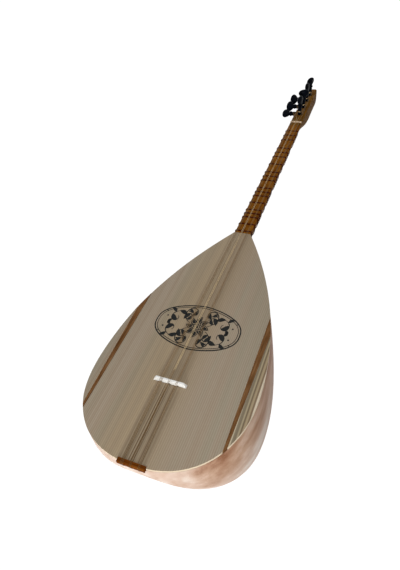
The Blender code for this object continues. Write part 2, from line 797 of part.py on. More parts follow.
def wire(name, points):
    line = bpy.data.curves.new(name, "CURVE")
    line.dimensions = "3D"
    line.bevel_depth = STRING_RADIUS
    line.bevel_resolution = 1
    line.use_fill_caps = True
    spline = line.splines.new("POLY")
    spline.points.add(len(points) - 1)
    for point, place_at in zip(spline.points, points):
        point.co = (*place_at, 1)
    return place(bpy.data.objects.new(name, line), STRING_STEEL)


def string_stations():
    """Each string's hitch pin and its places at the bridge and the nut, from the left one to the right."""
    found = []
    for course, count in COURSES:
        for index in range(count):
            offset = (index - (count - 1) / 2) * STRING_SPACING
            middle = course * COURSE_SPACING_BRIDGE
            found.append((middle, middle + offset, course * COURSE_SPACING_NUT + offset))
    return found


def speaking_points(at_pin, at_bridge, at_nut):
    """From the hitch pin's shank, under and over the tail block, over the bridge and the nut."""
    lift = GAP + STRING_RADIUS
    behind = -TAIL_BLOCK_OVERHANG - lift
    over = TAIL_BLOCK_RISE + lift
    start = (mix(at_pin, at_bridge, 0.5), -HITCH_STAND_OFF / 2)
    under = -TAIL_BLOCK_DEPTH - 1.2 * lift
    return [
        (*start, HITCH_PIN_DIAMETER / 2 + lift - HITCH_DROP),
        (*start, under),
        (at_bridge, behind, under),
        (at_bridge, behind, TAIL_BLOCK_RISE - TAIL_BLOCK_EDGE / 2),
        (at_bridge, TAIL_BLOCK_EDGE / 2 - TAIL_BLOCK_OVERHANG, over),
        (at_bridge, BRIDGE_FROM_TAIL, BRIDGE_HEIGHT + lift),
        (at_nut, NUT_Y, NUT_RISE + lift),
        (at_nut, NUT_Y + NUT_THICKNESS, NUT_RISE + lift),
    ]


def over_edge(index):
    """Where a string bound for a side peg leaves the head's face."""
    peg = side_peg_y(index)
    y = mix(NUT_Y + NUT_THICKNESS, peg, 0.6)
    return (-head_half_width(y) - GAP / 2, y, head_face(y) + GAP + STRING_RADIUS)


def past_first_peg():
    """The second middle string is bent aside by the shaft of the first front peg."""
    y = front_peg_y(0)
    return (PEG_RADIUS + GAP + STRING_RADIUS * 1.5, y, head_face(y) + PEG_RADIUS)


def make_strings():
    """Three strings to the side pegs, then four to the front ones."""
    routes = [("side", 0), ("side", 1), ("side", 2), ("front", 0), ("front", 1), ("front", 2), ("front", 3)]
    for number, (places, (row, index)) in enumerate(zip(string_stations(), routes), 1):
        points = speaking_points(*places)
        if row == "side":
            points += [over_edge(index)] + side_winding(index)
        elif index == 1:
            points += [past_first_peg()] + front_winding(index, 1)
        else:
            points += front_winding(index, -1 if index == 0 else 1)
        wire("string_%d" % number, points)
    turns = [Vector(point) for point in front_winding(0, 1)]
    nearest = min(
        (one - two).length for at, one in enumerate(turns) for two in turns[at + TURN_STEPS // 2:]
    )
    print("least gap between the turns of a winding: %.2f mm" % (1000 * (nearest - STRING_DIAMETER)))


def world_points(names, turn):
    """Points of the finished pieces as the viewport evaluates them, turned about X."""
    graph = bpy.context.evaluated_depsgraph_get()
    found = []
    for obj in PARTS.objects:
        if obj.type == "EMPTY" or (names and obj.name not in names):
            continue
        solid = obj.evaluated_get(graph)
        mesh = solid.to_mesh()
        found += [turn @ (solid.matrix_world @ vert.co) for vert in mesh.vertices]
        solid.to_mesh_clear()
    return found


def lay_down():
    """Tip the head down until the bowl and the head touch one plane, then set the origin under the middle."""
    bpy.context.view_layer.update()
    still = Matrix.Identity(4)
    bowl, head = world_points(("bowl",), still), world_points(("head",), still)
    low, high = 0.0, math.radians(30)
    for _ in range(40):
        tilt = (low + high) / 2
        turn = Matrix.Rotation(-tilt, 4, "X")
        if min((turn @ p).z for p in bowl) < min((turn @ p).z for p in head):
            low = tilt
        else:
            high = tilt
    turn = Matrix.Rotation(-low, 4, "X")
    points = world_points((), turn)
    ROOT.rotation_euler = (-low, 0, 0)
    ROOT.location = (
        -(max(p.x for p in points) + min(p.x for p in points)) / 2,
        -(max(p.y for p in points) + min(p.y for p in points)) / 2,
        -min(p.z for p in points),
    )
    print("laid down by %.4f degrees, root at (%.5f, %.5f, %.5f)" % (math.degrees(low), *ROOT.location))


inlet = make_tail_inlet()
make_bowl(inlet)
make_face(inlet)
make_braces()
make_neck()
make_head()
make_nut()
make_bridge()
make_tail_block()
make_hitch_pins()
make_pegs()
make_frets()
make_strings()
lay_down()
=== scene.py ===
import json
import math

import bmesh
import bpy
from mathutils import Euler, Matrix, Vector


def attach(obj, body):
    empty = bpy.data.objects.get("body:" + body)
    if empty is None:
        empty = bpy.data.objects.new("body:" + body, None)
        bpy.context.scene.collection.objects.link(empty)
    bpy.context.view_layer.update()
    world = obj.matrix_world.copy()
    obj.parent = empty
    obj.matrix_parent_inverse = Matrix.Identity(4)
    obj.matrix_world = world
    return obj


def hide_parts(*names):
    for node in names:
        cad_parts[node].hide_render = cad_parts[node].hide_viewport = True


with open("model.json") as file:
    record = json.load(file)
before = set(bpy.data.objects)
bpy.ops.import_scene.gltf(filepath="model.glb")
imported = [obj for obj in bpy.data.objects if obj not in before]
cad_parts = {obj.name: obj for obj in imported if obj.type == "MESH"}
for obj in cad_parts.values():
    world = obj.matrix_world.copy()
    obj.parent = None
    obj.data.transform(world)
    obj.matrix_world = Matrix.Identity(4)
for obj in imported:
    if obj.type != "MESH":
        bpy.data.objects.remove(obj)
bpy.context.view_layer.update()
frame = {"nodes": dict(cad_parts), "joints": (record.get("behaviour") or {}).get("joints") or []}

# The instrument lies on its back, on the belly of its bowl and the back of its head. Everything below is
# drawn in the instrument's own frame, in metres: y runs along the strings from the tail end of the face,
# x is to the right of the face and z comes out of it. The first front peg's hinge says how it lies.
hinge = next(joint for joint in frame["joints"] if joint["name"] == "peg_front_1_turn")
FIRST_PEG = Vector((0, 0.851, -0.00027))
face_out = Vector(hinge["axis"])
to_the_right = Vector((1, 0, 0))
LAID = Matrix((to_the_right, face_out.cross(to_the_right), face_out)).transposed().to_4x4()
LAID.translation = Vector(hinge["pos_m"]) - LAID.to_3x3() @ FIRST_PEG

# The camera stands over the tail on the right, low enough to see the right flank of the bowl.
CAMERA_PLACE = Vector((0.2098, -0.1441, 0.4928))
CAMERA_RIGHT = Vector((0.92345, 0.36156, -0.12849))
CAMERA_UP = Vector((-0.17761, 0.69959, 0.69212))
camera = bpy.data.objects.new("camera", bpy.data.cameras.new("camera"))
camera.data.sensor_width = 36
camera.data.lens = 28.42
camera.matrix_world = LAID @ (
    Matrix.Translation(CAMERA_PLACE)
    @ Matrix((CAMERA_RIGHT, CAMERA_UP, CAMERA_RIGHT.cross(CAMERA_UP))).transposed().to_4x4()
)
bpy.context.scene.collection.objects.link(camera)
bpy.context.scene.camera = camera
bpy.context.scene.view_settings.view_transform = "Standard"


class Socket:
    """A socket of a material. Sums on it add the nodes that they need."""

    def __init__(self, tree, link=None):
        self.tree = tree
        self.link = link

    def node(self, kind, settings, values, output=0):
        """Adds a node, sets it, then fills its sockets with values or links."""
        made = self.tree.nodes.new("ShaderNode" + kind)
        for name, value in settings.items():
            if name == "stops":
                ramp = made.color_ramp
                for stop, (place, tone) in enumerate(value):
                    step = ramp.elements[stop] if stop < 2 else ramp.elements.new(place)
                    step.position, step.color = place, tone
            else:
                setattr(made, name, value)
        for name, value in values.items():
            if isinstance(value, Socket):
                self.tree.links.new(value.link, made.inputs[name])
            else:
                made.inputs[name].default_value = value
        return Socket(self.tree, made.outputs[output])

    def math(self, operation, one, two=0.0):
        return self.node("Math", {"operation": operation}, {0: one, 1: two})

    def __add__(self, other):
        return self.math("ADD", self, other)

    def __sub__(self, other):
        return self.math("SUBTRACT", self, other)

    def __rsub__(self, other):
        return self.math("SUBTRACT", other, self)

    def __mul__(self, other):
        return self.math("MULTIPLY", self, other)

    __radd__ = __add__
    __rmul__ = __mul__

    def size(self):
        """The value without its sign."""
        return self.math("ABSOLUTE", self)

    def axis(self, name):
        """One coordinate of a place."""
        return self.node("SeparateXYZ", {}, {0: self}, name)

    def scaled(self, *factors):
        return self.node("VectorMath", {"operation": "MULTIPLY"}, {0: self, 1: factors}, "Vector")

    def moved(self, *steps):
        return self.node("VectorMath", {"operation": "ADD"}, {0: self, 1: steps}, "Vector")

    def noise(self, detail, roughness):
        values = {"Vector": self, "Scale": 1.0, "Detail": detail, "Roughness": roughness}
        return self.node("TexNoise", {}, values)

    def rise(self, low, high):
        """0 below low and 1 above high, with level ends."""
        settings = {"interpolation_type": "SMOOTHSTEP"}
        return self.node("MapRange", settings, {"Value": self, "From Min": low, "From Max": high})

    def between(self, low, high):
        """A colour from low at 0 to high at 1."""
        return self.node("Mix", {"data_type": "RGBA"}, {0: self, 6: low, 7: high}, 2)

    def ramp(self, *stops):
        return self.node("ValToRGB", {"stops": stops}, {0: self})

    def bump(self, depth, strength):
        return self.node("Bump", {}, {"Height": self, "Distance": depth, "Strength": strength})


def paint(red, green, blue):
    """A colour as seen on a screen, 0 to 255, as the shader wants it."""
    values = [value / 255 for value in (red, green, blue)]
    linear = [v / 12.92 if v < 0.04045 else ((v + 0.055) / 1.055) ** 2.4 for v in values]
    return (*linear, 1.0)


def material(name):
    """A new material, and the place of each of its points in the instrument's own frame."""
    made = bpy.data.materials.new(name)
    made.use_nodes = True
    room = Socket(made.node_tree).node("TexCoord", {}, {}, "Object")
    turn = {"Location": LAID.translation, "Rotation": LAID.to_euler()}
    return made, room.node("Mapping", {"vector_type": "TEXTURE"}, {"Vector": room, **turn})


def finish(made, values):
    """Fills the sockets of a material's shader."""
    shader = made.node_tree.nodes["Principled BSDF"]
    for name, value in values.items():
        if isinstance(value, Socket):
            made.node_tree.links.new(value.link, shader.inputs[name])
        else:
            shader.inputs[name].default_value = value
    return made


# The floor and the light: a pale studio floor, a broad soft lamp far behind the tail, as from a
# window, and a weak one above the head. The room is brighter on the instrument's left.
FLOOR_REACH = 15.0
FLOOR_GLOW, FLOOR_GLOW_SHARE = 1.38, 0.7
DIM_LIGHT, WALL_LIGHT, SKY_LIGHT = 0.06, 0.55, 1.0
WHITE_RAYS = ("Is Camera Ray", "Is Glossy Ray", "Is Transmission Ray")
WHITE = (1, 1, 1, 1)


def seen_straight(tree):
    """1 for rays that show a surface itself or its reflection, 0 for those that only light others."""
    return sum(tree.node("LightPath", {}, {}, ray) for ray in WHITE_RAYS)


floor_paper, _ = material("floor_paper")
finish(floor_paper, {"Base Color": paint(176, 176, 176), "Roughness": 0.9, "Specular IOR Level": 0.1})
paper = floor_paper.node_tree
lit = Socket(paper, paper.nodes["Principled BSDF"].outputs[0])
bright = seen_straight(lit) * FLOOR_GLOW_SHARE
glow = lit.node("Emission", {}, {"Color": WHITE, "Strength": FLOOR_GLOW})
seen_floor = lit.node("MixShader", {}, {0: bright, 1: lit, 2: glow})
paper.links.new(seen_floor.link, paper.nodes["Material Output"].inputs["Surface"])
floor_mesh = bpy.data.meshes.new("floor")
floor_corners = [(x * FLOOR_REACH, y * FLOOR_REACH, 0) for x, y in ((-1, -1), (1, -1), (1, 1), (-1, 1))]
floor_mesh.from_pydata(floor_corners, [], [(0, 1, 2, 3)])
floor_mesh.materials.append(floor_paper)
floor = bpy.data.objects.new("floor", floor_mesh)
bpy.context.scene.collection.objects.link(floor)

world = bpy.data.worlds.new("studio")
world.use_nodes = True
studio = Socket(world.node_tree)
dim, bright_wall, sky = (
    studio.node("Background", {}, {"Color": WHITE, "Strength": strength})
    for strength in (DIM_LIGHT, WALL_LIGHT, SKY_LIGHT)
)
aside = studio.node("TexCoord", {}, {}, "Generated").axis("X").rise(-0.7, 0.7)
room = studio.node("MixShader", {}, {0: aside, 1: bright_wall, 2: dim})
shown = studio.node("MixShader", {}, {0: seen_straight(studio), 1: room, 2: sky})
world.node_tree.links.new(shown.link, world.node_tree.nodes["World Output"].inputs["Surface"])
bpy.context.scene.world = world

LAMP_AIM = Vector((0, -0.25, 0.15))
for lamp_name, place, size, power in (
    ("window_lamp", (0.9, -4.9, 1.7), 2.0, 192.0),
    ("fill_lamp", (0.4, 0.6, 2.0), 1.6, 17.0),
):
    lamp = bpy.data.objects.new(lamp_name, bpy.data.lights.new(lamp_name, "AREA"))
    lamp.data.size = size
    lamp.data.energy = power
    lamp.location = place
    lamp.rotation_euler = (LAMP_AIM - Vector(place)).to_track_quat("-Z", "Y").to_euler()
    bpy.context.scene.collection.objects.link(lamp)

# The bowl: carved from one block of pale wood to an even wall, smooth outside, oiled. Its outline is full
# at the tail and draws in to the neck, its belly is squarer than a half circle, and a sound hole is bored
# in its tail end under the strings' pins.
BOWL_LENGTH = 0.41701
HALF_WIDTH = 0.1147
BOWL_DEPTH = 0.1987
BOWL_WALL = 0.0045
WIDEST = 0.1265
DEEPEST = 0.1705
TAIL_LAND = 0.0005
TAIL_POWER, SIDE_POWER = 2.27, 1.86
KEEL_TAIL_POWER, KEEL_NECK_POWER = 1.86, 1.76
BELLY_POWER, BELLY_BULGE = 4.1, 0.143
BOARD_THICKNESS = 0.004
BOARD_CROWN = 0.0006
STRIP_INNER, WING_FOLD = 0.0942, 0.1032
STRIP_AT_TAIL, STRIP_AT_NECK = 0.0033, 0.0092
WING_SLOPE = math.radians(12)
HEEL_HALF, HEEL_DEPTH = 0.014, 0.027
NECK_POWER = 2.3
GAP = 0.0003
SOUND_HOLE_RADIUS, SOUND_HOLE_DROP = 0.010, 0.066
BELLY_STEPS, TAIL_STATIONS, SIDE_STATIONS = 72, 26, 34


def mix(start, end, share):
    """The value at a share of the way from start to end."""
    return start + (end - start) * share


def ease(value):
    """0 up to 0 and 1 from 1 on, with level ends."""
    value = min(max(value, 0.0), 1.0)
    return value * value * (3 - 2 * value)


def spread(start, end, steps):
    """Evenly spaced values from start to end, both included."""
    return [mix(start, end, step / steps) for step in range(steps + 1)]


def rim_half_width(y):
    if y < WIDEST:
        share = (WIDEST - y) / (WIDEST + TAIL_LAND)
        return HALF_WIDTH * (1 - share**TAIL_POWER) ** (1 / TAIL_POWER)
    share = (y - WIDEST) / (BOWL_LENGTH - WIDEST)
    return HALF_WIDTH - (HALF_WIDTH - HEEL_HALF) * share**SIDE_POWER


def face_height(x):
    """The face's slight crown, and the wings that fall away outside the strips."""
    crown = BOARD_CROWN * min(abs(x) / STRIP_INNER, 1.0) ** 2
    return -crown - max(0.0, abs(x) - WING_FOLD) * math.tan(WING_SLOPE)


def keel_depth(y):
    if y < DEEPEST:
        share = (DEEPEST - y) / (DEEPEST + TAIL_LAND)
        return BOWL_DEPTH * (1 - share**KEEL_TAIL_POWER) ** (1 / KEEL_TAIL_POWER)
    share = (y - DEEPEST) / (BOWL_LENGTH - DEEPEST)
    return HEEL_DEPTH + (BOWL_DEPTH - HEEL_DEPTH) * (1 - share**KEEL_NECK_POWER)


def half_section(half, top, bottom, power, bulge, steps):
    """Points (x, z) from the right edge round under to the left one, on half a superellipse."""
    points = []
    for step in range(steps + 1):
        angle = math.pi * step / steps
        across, down = math.cos(angle), math.sin(angle)
        reach = (abs(across) ** power + down**power) ** (-1 / power)
        swell = 1 + bulge * down * across * across
        points.append((half * across * reach * swell, top + (bottom - top) * down * reach))
    return points


def skin(rows, ring=True, caps=True):
    """A skin over rows of equal point counts."""
    shape = bmesh.new()
    rows = [[shape.verts.new(point) for point in row] for row in rows]
    count = len(rows[0])
    for one, two in zip(rows, rows[1:]):
        for index in range(count if ring else count - 1):
            after = (index + 1) % count
            shape.faces.new((one[index], one[after], two[after], two[index]))
    if caps:
        shape.faces.new(rows[0])
        shape.faces.new(rows[-1])
    return shape


def solid(name, shape, place=None):
    """An object from a bmesh, with its points carried into the room's frame."""
    mesh = bpy.data.meshes.new(name)
    bmesh.ops.recalc_face_normals(shape, faces=shape.faces)
    shape.to_mesh(mesh)
    shape.free()
    mesh.transform(LAID @ (place or Matrix.Identity(4)))
    made = bpy.data.objects.new(name, mesh)
    bpy.context.scene.collection.objects.link(made)
    return made


def settle(made):
    """Applies a piece's modifiers to its mesh."""
    graph = bpy.context.evaluated_depsgraph_get()
    mesh = bpy.data.meshes.new_from_object(made.evaluated_get(graph))
    made.modifiers.clear()
    made.data = mesh
    return made


def carve(made, cutters):
    """Cuts other solids out of a piece and throws them away."""
    for tool in cutters:
        hole = made.modifiers.new(tool.name, "BOOLEAN")
        hole.operation = "DIFFERENCE"
        hole.object = tool
    settle(made)
    for tool in cutters:
        bpy.data.objects.remove(tool)
    return made


def soften(made, width, segments=2, angle=40):
    """Eases the piece's sharp edges, as sandpaper does."""
    edge = made.modifiers.new("eased", "BEVEL")
    edge.width = width
    edge.segments = segments
    edge.limit_method = "ANGLE"
    edge.angle_limit = math.radians(angle)
    edge.use_clamp_overlap = True
    return settle(made)


def fit(made, wood, nodes, body="instrument", sharp=40):
    """Finishes a piece and puts it in the place of the CAD nodes that it stands for."""
    made.data.materials.clear()
    made.data.materials.append(wood)
    made.data.shade_smooth()
    made.data.set_sharp_from_angle(angle=math.radians(sharp))
    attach(made, body)
    if nodes:
        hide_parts(*nodes)
    return made


def rod(start, end, radius_start, radius_end, sides=40):
    """A straight round bar, tapered from one radius to the other."""
    shape = bmesh.new()
    line = Vector(end) - Vector(start)
    bmesh.ops.create_cone(
        shape, cap_ends=True, segments=sides, radius1=radius_start, radius2=radius_end, depth=line.length
    )
    turn = line.to_track_quat("Z", "Y").to_matrix().to_4x4()
    middle = (Vector(start) + Vector(end)) / 2
    bmesh.ops.transform(shape, matrix=Matrix.Translation(middle) @ turn, verts=shape.verts)
    return shape


def block(low, high):
    """A plain box, as a cutter or as the start of a piece."""
    shape = bmesh.new()
    bmesh.ops.create_cube(shape, size=1)
    low, high = Vector(low), Vector(high)
    bmesh.ops.scale(shape, vec=high - low, verts=shape.verts)
    bmesh.ops.translate(shape, vec=(low + high) / 2, verts=shape.verts)
    return shape


def bowl_row(y):
    heel = ease((y - DEEPEST) / (BOWL_LENGTH - DEEPEST))
    half = rim_half_width(y)
    top = face_height(half) - BOARD_THICKNESS - GAP
    power, bulge = mix(BELLY_POWER, NECK_POWER, heel), BELLY_BULGE * (1 - heel)
    return [(x, y, z) for x, z in half_section(half, top, -keel_depth(y), power, bulge, BELLY_STEPS)]


tail_turns = [math.pi / 2 * step / TAIL_STATIONS for step in range(TAIL_STATIONS)]
bowl_stations = [DEEPEST * (1 - math.cos(angle)) for angle in tail_turns]
bowl_stations += spread(DEEPEST, BOWL_LENGTH, SIDE_STATIONS)
bowl_shape = skin([bowl_row(y) for y in bowl_stations], ring=False, caps=False)
bowl_shape.verts.ensure_lookup_table()
bowl_shape.faces.new(bowl_shape.verts[: BELLY_STEPS + 1])
carved_bowl = solid("carved_bowl", bowl_shape)
wall = carved_bowl.modifiers.new("wall", "SOLIDIFY")
wall.thickness = BOWL_WALL
wall.offset = -1
wall.use_even_offset = True
BLOCK_HALF, BLOCK_RISE, BLOCK_DEPTH = 0.0185, 0.001, 0.0045
BLOCK_INLET, BLOCK_OVERHANG = 0.003, 0.003
PIN_PLACES = (-0.011, 0.0, 0.011)
PIN_RADIUS, PIN_SEAT, PIN_DROP = 0.0008, 0.0035, 0.0078
inlet_low = (-BLOCK_HALF - GAP, -BLOCK_INLET, -BLOCK_DEPTH - GAP)
inlet_high = (BLOCK_HALF + GAP, BLOCK_INLET + GAP, BLOCK_DEPTH)
bowl_cutters = [
    solid("inlet_cutter", block(inlet_low, inlet_high)),
    solid("hole_cutter", rod(
        (0, -0.02, -SOUND_HOLE_DROP), (0, DEEPEST / 2, -SOUND_HOLE_DROP),
        SOUND_HOLE_RADIUS, SOUND_HOLE_RADIUS, 64,
    )),
]
for x in PIN_PLACES:
    outer, deepest = (x, -PIN_SEAT - GAP, -PIN_DROP), (x, PIN_SEAT + GAP, -PIN_DROP)
    bowl_cutters.append(solid("pin_cutter", rod(outer, deepest, PIN_RADIUS, PIN_RADIUS)))
carve(carved_bowl, bowl_cutters)

bowl_wood, place = material("carved_bowl_wood")
fibres = place.scaled(900, 22, 420).noise(4, 0.6)
clouds = place.scaled(26, 7, 20).noise(3, 0.55)
flame = place.moved(0, 0, 0.4).scaled(60, 9, 46).noise(2, 0.5)
tone = clouds * 0.6 + flame * 0.3 + fibres * 0.1
pale = tone.ramp(
    (0.38, paint(196, 152, 126)), (0.46, paint(220, 190, 169)),
    (0.54, paint(230, 205, 188)), (0.62, paint(242, 226, 213)),
)
# On the right flank near the rim the bowl is painted browner and darker. This is painted shade of the flank
# turned away from the window lamp, laid over the wood's own warmer tone there.
warm = tone.ramp(
    (0.38, paint(148, 98, 68)), (0.46, paint(184, 140, 111)),
    (0.54, paint(206, 168, 141)), (0.64, paint(236, 210, 190)),
)
painted_shade_right_flank = place.axis("X").rise(0.03, 0.10) * place.axis("Z").rise(-0.11, -0.03)
figure = painted_shade_right_flank.between(pale, warm)
finish(bowl_wood, {
    "Base Color": figure,
    "IOR": 1.15,
    "Specular IOR Level": 0.12,
    "Roughness": 0.34 + fibres * 0.14,
    "Normal": (fibres * 0.6 + clouds * 0.4).bump(0.00012, 0.5),
})
fit(carved_bowl, bowl_wood, ["bowl"])

# The face: quarter-sawn spruce with straight grain from tail to neck. It is browner under the strings, partly
# darker wood and partly painted shade, with the strings' shadows painted on it as dark lines. It is sanded and
# thinly lacquered. Its cut edge shows paler all round. The wings are the same wood, falling away outside
# the strips, with a painted highlight just inside the right wing's rim.


def rim_low(x):
    share = (1 - (abs(x) / HALF_WIDTH) ** TAIL_POWER) ** (1 / TAIL_POWER)
    return max(0.0, WIDEST - (WIDEST + TAIL_LAND) * share)


def rim_high(x):
    share = (HALF_WIDTH - abs(x)) / (HALF_WIDTH - HEEL_HALF)
    return min(BOWL_LENGTH, WIDEST + (BOWL_LENGTH - WIDEST) * share ** (1 / SIDE_POWER))


def line_end(line, rim):
    """Where a line x(y) along the face meets the rim. A slanting one settles in a few rounds."""
    y = rim(line(WIDEST))
    for _ in range(12):
        y = rim(line(y))
    return line(y), y, face_height(line(y))


def straight(x):
    return lambda y: x


def beside(side, start, end, share):
    """A line between two lines x(y), on one side of the face."""
    return lambda y: side * mix(start(y), end(y), share)


def strip_edge(y):
    """Outer edge of a strip, which widens from the tail to the neck."""
    share = (y - rim_low(STRIP_INNER)) / (rim_high(STRIP_INNER) - rim_low(STRIP_INNER))
    return STRIP_INNER + mix(STRIP_AT_TAIL, STRIP_AT_NECK, share)


def board(name, lines, edge):
    """A board over lines x(y) along the face, each cut off by the rim at both ends."""
    shape = bmesh.new()
    ends = []
    for line in lines:
        low, high = line_end(line, rim_low), line_end(line, rim_high)
        near = shape.verts.new(low)
        far = near if high[1] - low[1] < GAP else shape.verts.new(high)
        ends.append((near, far))
    for (near, far), (next_near, next_far) in zip(ends, ends[1:]):
        corners = []
        for corner in (near, next_near, next_far, far):
            if corner not in corners:
                corners.append(corner)
        shape.faces.new(corners)
    bmesh.ops.recalc_face_normals(shape, faces=shape.faces)
    grown = bmesh.ops.extrude_face_region(shape, geom=list(shape.faces), use_keep_orig=True)
    lower = [item for item in grown["geom"] if isinstance(item, bmesh.types.BMVert)]
    bmesh.ops.translate(shape, vec=(0, 0, -BOARD_THICKNESS), verts=lower)
    return soften(solid(name, shape), edge, angle=50)


def spruce(name, brown):
    """Spruce with its growth rings a millimetre or two apart. brown is how dark the middle is. At 1 the middle
    is browner, partly darker wood and partly painted shade, and the strings' shadows are painted under them as
    dark lines, stronger past the bridge. At 0 it has a few wide rings along its right side and a painted
    highlight just inside the rim."""
    made, place = material(name)
    x, y = place.axis("X"), place.axis("Y")
    wander = (place.scaled(14, 3, 14).noise(2, 0.5) - 0.5) * 0.004
    across = x + wander
    width = place.scaled(38, 0.9, 38).noise(2, 0.5)
    rings = place.node(
        "TexWave", {"wave_type": "BANDS", "bands_direction": "X"},
        {"Vector": across.node("CombineXYZ", {}, {"X": across, "Y": y * 0.01}), "Scale": 116.0,
         "Distortion": 1.5, "Detail": 2.0, "Detail Scale": 0.4}, "Fac",
    )
    fibres = place.scaled(1500, 26, 1500).noise(3, 0.6)
    calm = 1 - x.rise(-0.002, 0.02) * 0.7
    bands = (place.scaled(105, 0.9, 105).noise(3, 0.6).rise(0.36, 0.64) - 0.5) * calm + 0.5
    silk = place.scaled(160, 420, 160).noise(2, 0.5)
    tone = rings * 0.32 + fibres * 0.24 + bands * 0.28 + silk * 0.12 + width * 0.04
    warm = tone.ramp(
        (0.15, paint(148, 127, 104)), (0.5, paint(162, 145, 124)), (0.85, paint(174, 160, 141))
    )
    cool = tone.ramp((0.2, paint(144, 134, 112)), (0.8, paint(168, 160, 140)))
    grey = place.moved(0.3, 0, 0).scaled(46, 1.2, 46).noise(2, 0.5).rise(0.42, 0.62)
    pale = (grey * 0.6).between(warm, cool)
    stain_and_painted_shade = tone.ramp(
        (0.15, paint(146, 124, 94)), (0.5, paint(160, 140, 112)), (0.85, paint(172, 154, 127))
    )
    # Down the middle the face is browner: partly darker wood, partly painted shade of the strings.
    middle = (1 - (x + 0.012).size().rise(0.018, 0.060)) * brown
    streak = bands * 0.55 + 0.45
    face = (middle * streak).between(pale, stain_and_painted_shade)
    below = 1 - y.rise(0.095, 0.125)
    # Dark lines along the string courses: painted shadows of the strings with a few dark grain lines, stronger
    # below the bridge.
    for line, half, depth, upper in (
        (-0.0108, 0.0018, 0.24, 0.06), (-0.0052, 0.0004, 0.70, 0.25), (-0.0020, 0.0005, 0.85, 0.15),
        (0.0008, 0.0003, 0.60, 0.10), (0.0072, 0.0005, 0.60, 0.25), (0.0104, 0.0012, 0.24, 0.14),
        (0.0148, 0.0004, 0.30, 0.15), (-0.0172, 0.0005, 0.25, 0.25),
    ):
        grain_and_painted_light_line = 1 - (across - line).size().rise(half, 2.4 * half)
        face = (grain_and_painted_light_line * (below * (depth - upper) + upper) * brown).between(face, paint(88, 62, 34))
    # The right wing's wide growth rings. The last and palest line, just inside the rim, is a painted highlight
    # along the rim's edge.
    for line, half, depth, tint in (
        (0.0990, 0.0006, 0.75, (206, 190, 158)), (0.1022, 0.0012, 0.70, (118, 104, 78)),
        (0.1049, 0.0006, 0.60, (186, 168, 132)), (0.1068, 0.0007, 0.75, (104, 84, 54)),
        (0.1090, 0.0010, 0.60, (184, 160, 122)), (0.1112, 0.0007, 0.60, (122, 92, 58)),
        (0.1138, 0.0009, 0.90, (232, 216, 190)),
    ):
        grain_and_painted_light_line = 1 - (x + wander * 0.3 - line).size().rise(half, 2 * half)
        face = (grain_and_painted_light_line * depth * (1 - brown)).between(face, paint(*tint))
    out = place.node("NewGeometry", {}, {}, "Normal").axis("Z").rise(0.35, 0.8)
    return finish(made, {
        "Base Color": out.between(paint(236, 216, 186), face),
        "Specular IOR Level": 0.14,
        "Roughness": 0.42 + fibres * 0.16,
        "Coat Weight": 0.05,
        "Coat Roughness": 0.3,
        "Normal": (rings * 0.5 + fibres * 0.5).bump(0.00008, 0.5),
    })


face_spruce = spruce("face_spruce", 1.0)
wing_spruce = spruce("wing_spruce", 0.0)
FACE_EDGE, WING_EDGE, STRIP_EDGE = 0.0005, 0.0004, 0.0002
columns = spread(0, 0.0135, 3) + spread(0.0145, STRIP_INNER - GAP, 44)
columns = [-x for x in reversed(columns[1:])] + columns
soundboard = board("face_board", [straight(x) for x in columns], FACE_EDGE)
carve(soundboard, [solid("inlet_cutter", block(inlet_low, inlet_high))])
fit(soundboard, face_spruce, ["soundboard"])
inner, fold, rim = straight(STRIP_INNER), straight(WING_FOLD), straight(HALF_WIDTH)
swing = [math.sin(math.pi / 2 * step / 18) for step in range(1, 19)]
for side, word in ((-1, "left"), (1, "right")):
    flat = [beside(side, lambda y: strip_edge(y) + GAP, fold, share) for share in spread(0, 1, 6)]
    sloping = [beside(side, fold, rim, share) for share in swing]
    wing = board("face_wing_" + word, flat + sloping, WING_EDGE)
    fit(wing, wing_spruce, ["wing_" + word])


# The strips: dark hardwood let in between the face and each wing, flush with them.
def wood(name, tones, fibre, figure, grain="Y"):
    """Planed and oiled hardwood, with tones from dark to pale. fibre and figure are the widths of its
    lines in metres."""
    made, place = material(name)
    stretch = {
        "Y": lambda width, share: (1 / width, share / width, 1 / width),
        "X": lambda width, share: (share / width, 1 / width, 1 / width),
    }[grain]
    fibres = place.scaled(*stretch(fibre, 0.02)).noise(4, 0.65)
    bands = place.scaled(*stretch(figure, 0.12)).noise(3, 0.55)
    pores = place.scaled(*stretch(fibre * 0.6, 0.04)).noise(1, 0.5).rise(0.58, 0.68)
    tone = fibres * 0.4 + bands * 0.6
    stops = zip(spread(0.34, 0.68, len(tones) - 1), [paint(*tone) for tone in tones])
    colour = (pores * 0.35).between(tone.ramp(*stops), paint(*[0.45 * part for part in tones[0]]))
    return finish(made, {
        "Base Color": colour,
        "IOR": 1.15,
        "Specular IOR Level": 0.04,
        "Roughness": 0.35 + fibres * 0.2,
        "Normal": (fibres * 0.7 - pores * 0.3).bump(0.0001, 0.6),
    })


strip_wood = wood("dark_strip_wood", ((92, 60, 32), (126, 88, 54), (152, 114, 76)), 0.0007, 0.004)
for side, word in ((-1, "left"), (1, "right")):
    lines = [beside(side, inner, strip_edge, share) for share in spread(0, 1, 4)]
    inlay = board("dark_strip_" + word, lines, STRIP_EDGE)
    fit(inlay, strip_wood, ["strip_" + word])

# Two spruce bars are glued across the inside of the face. They stay as they are and take its wood.
for number in (1, 2):
    brace = frame["nodes"]["brace_%d" % number]
    brace.data.materials.clear()
    brace.data.materials.append(wing_spruce)

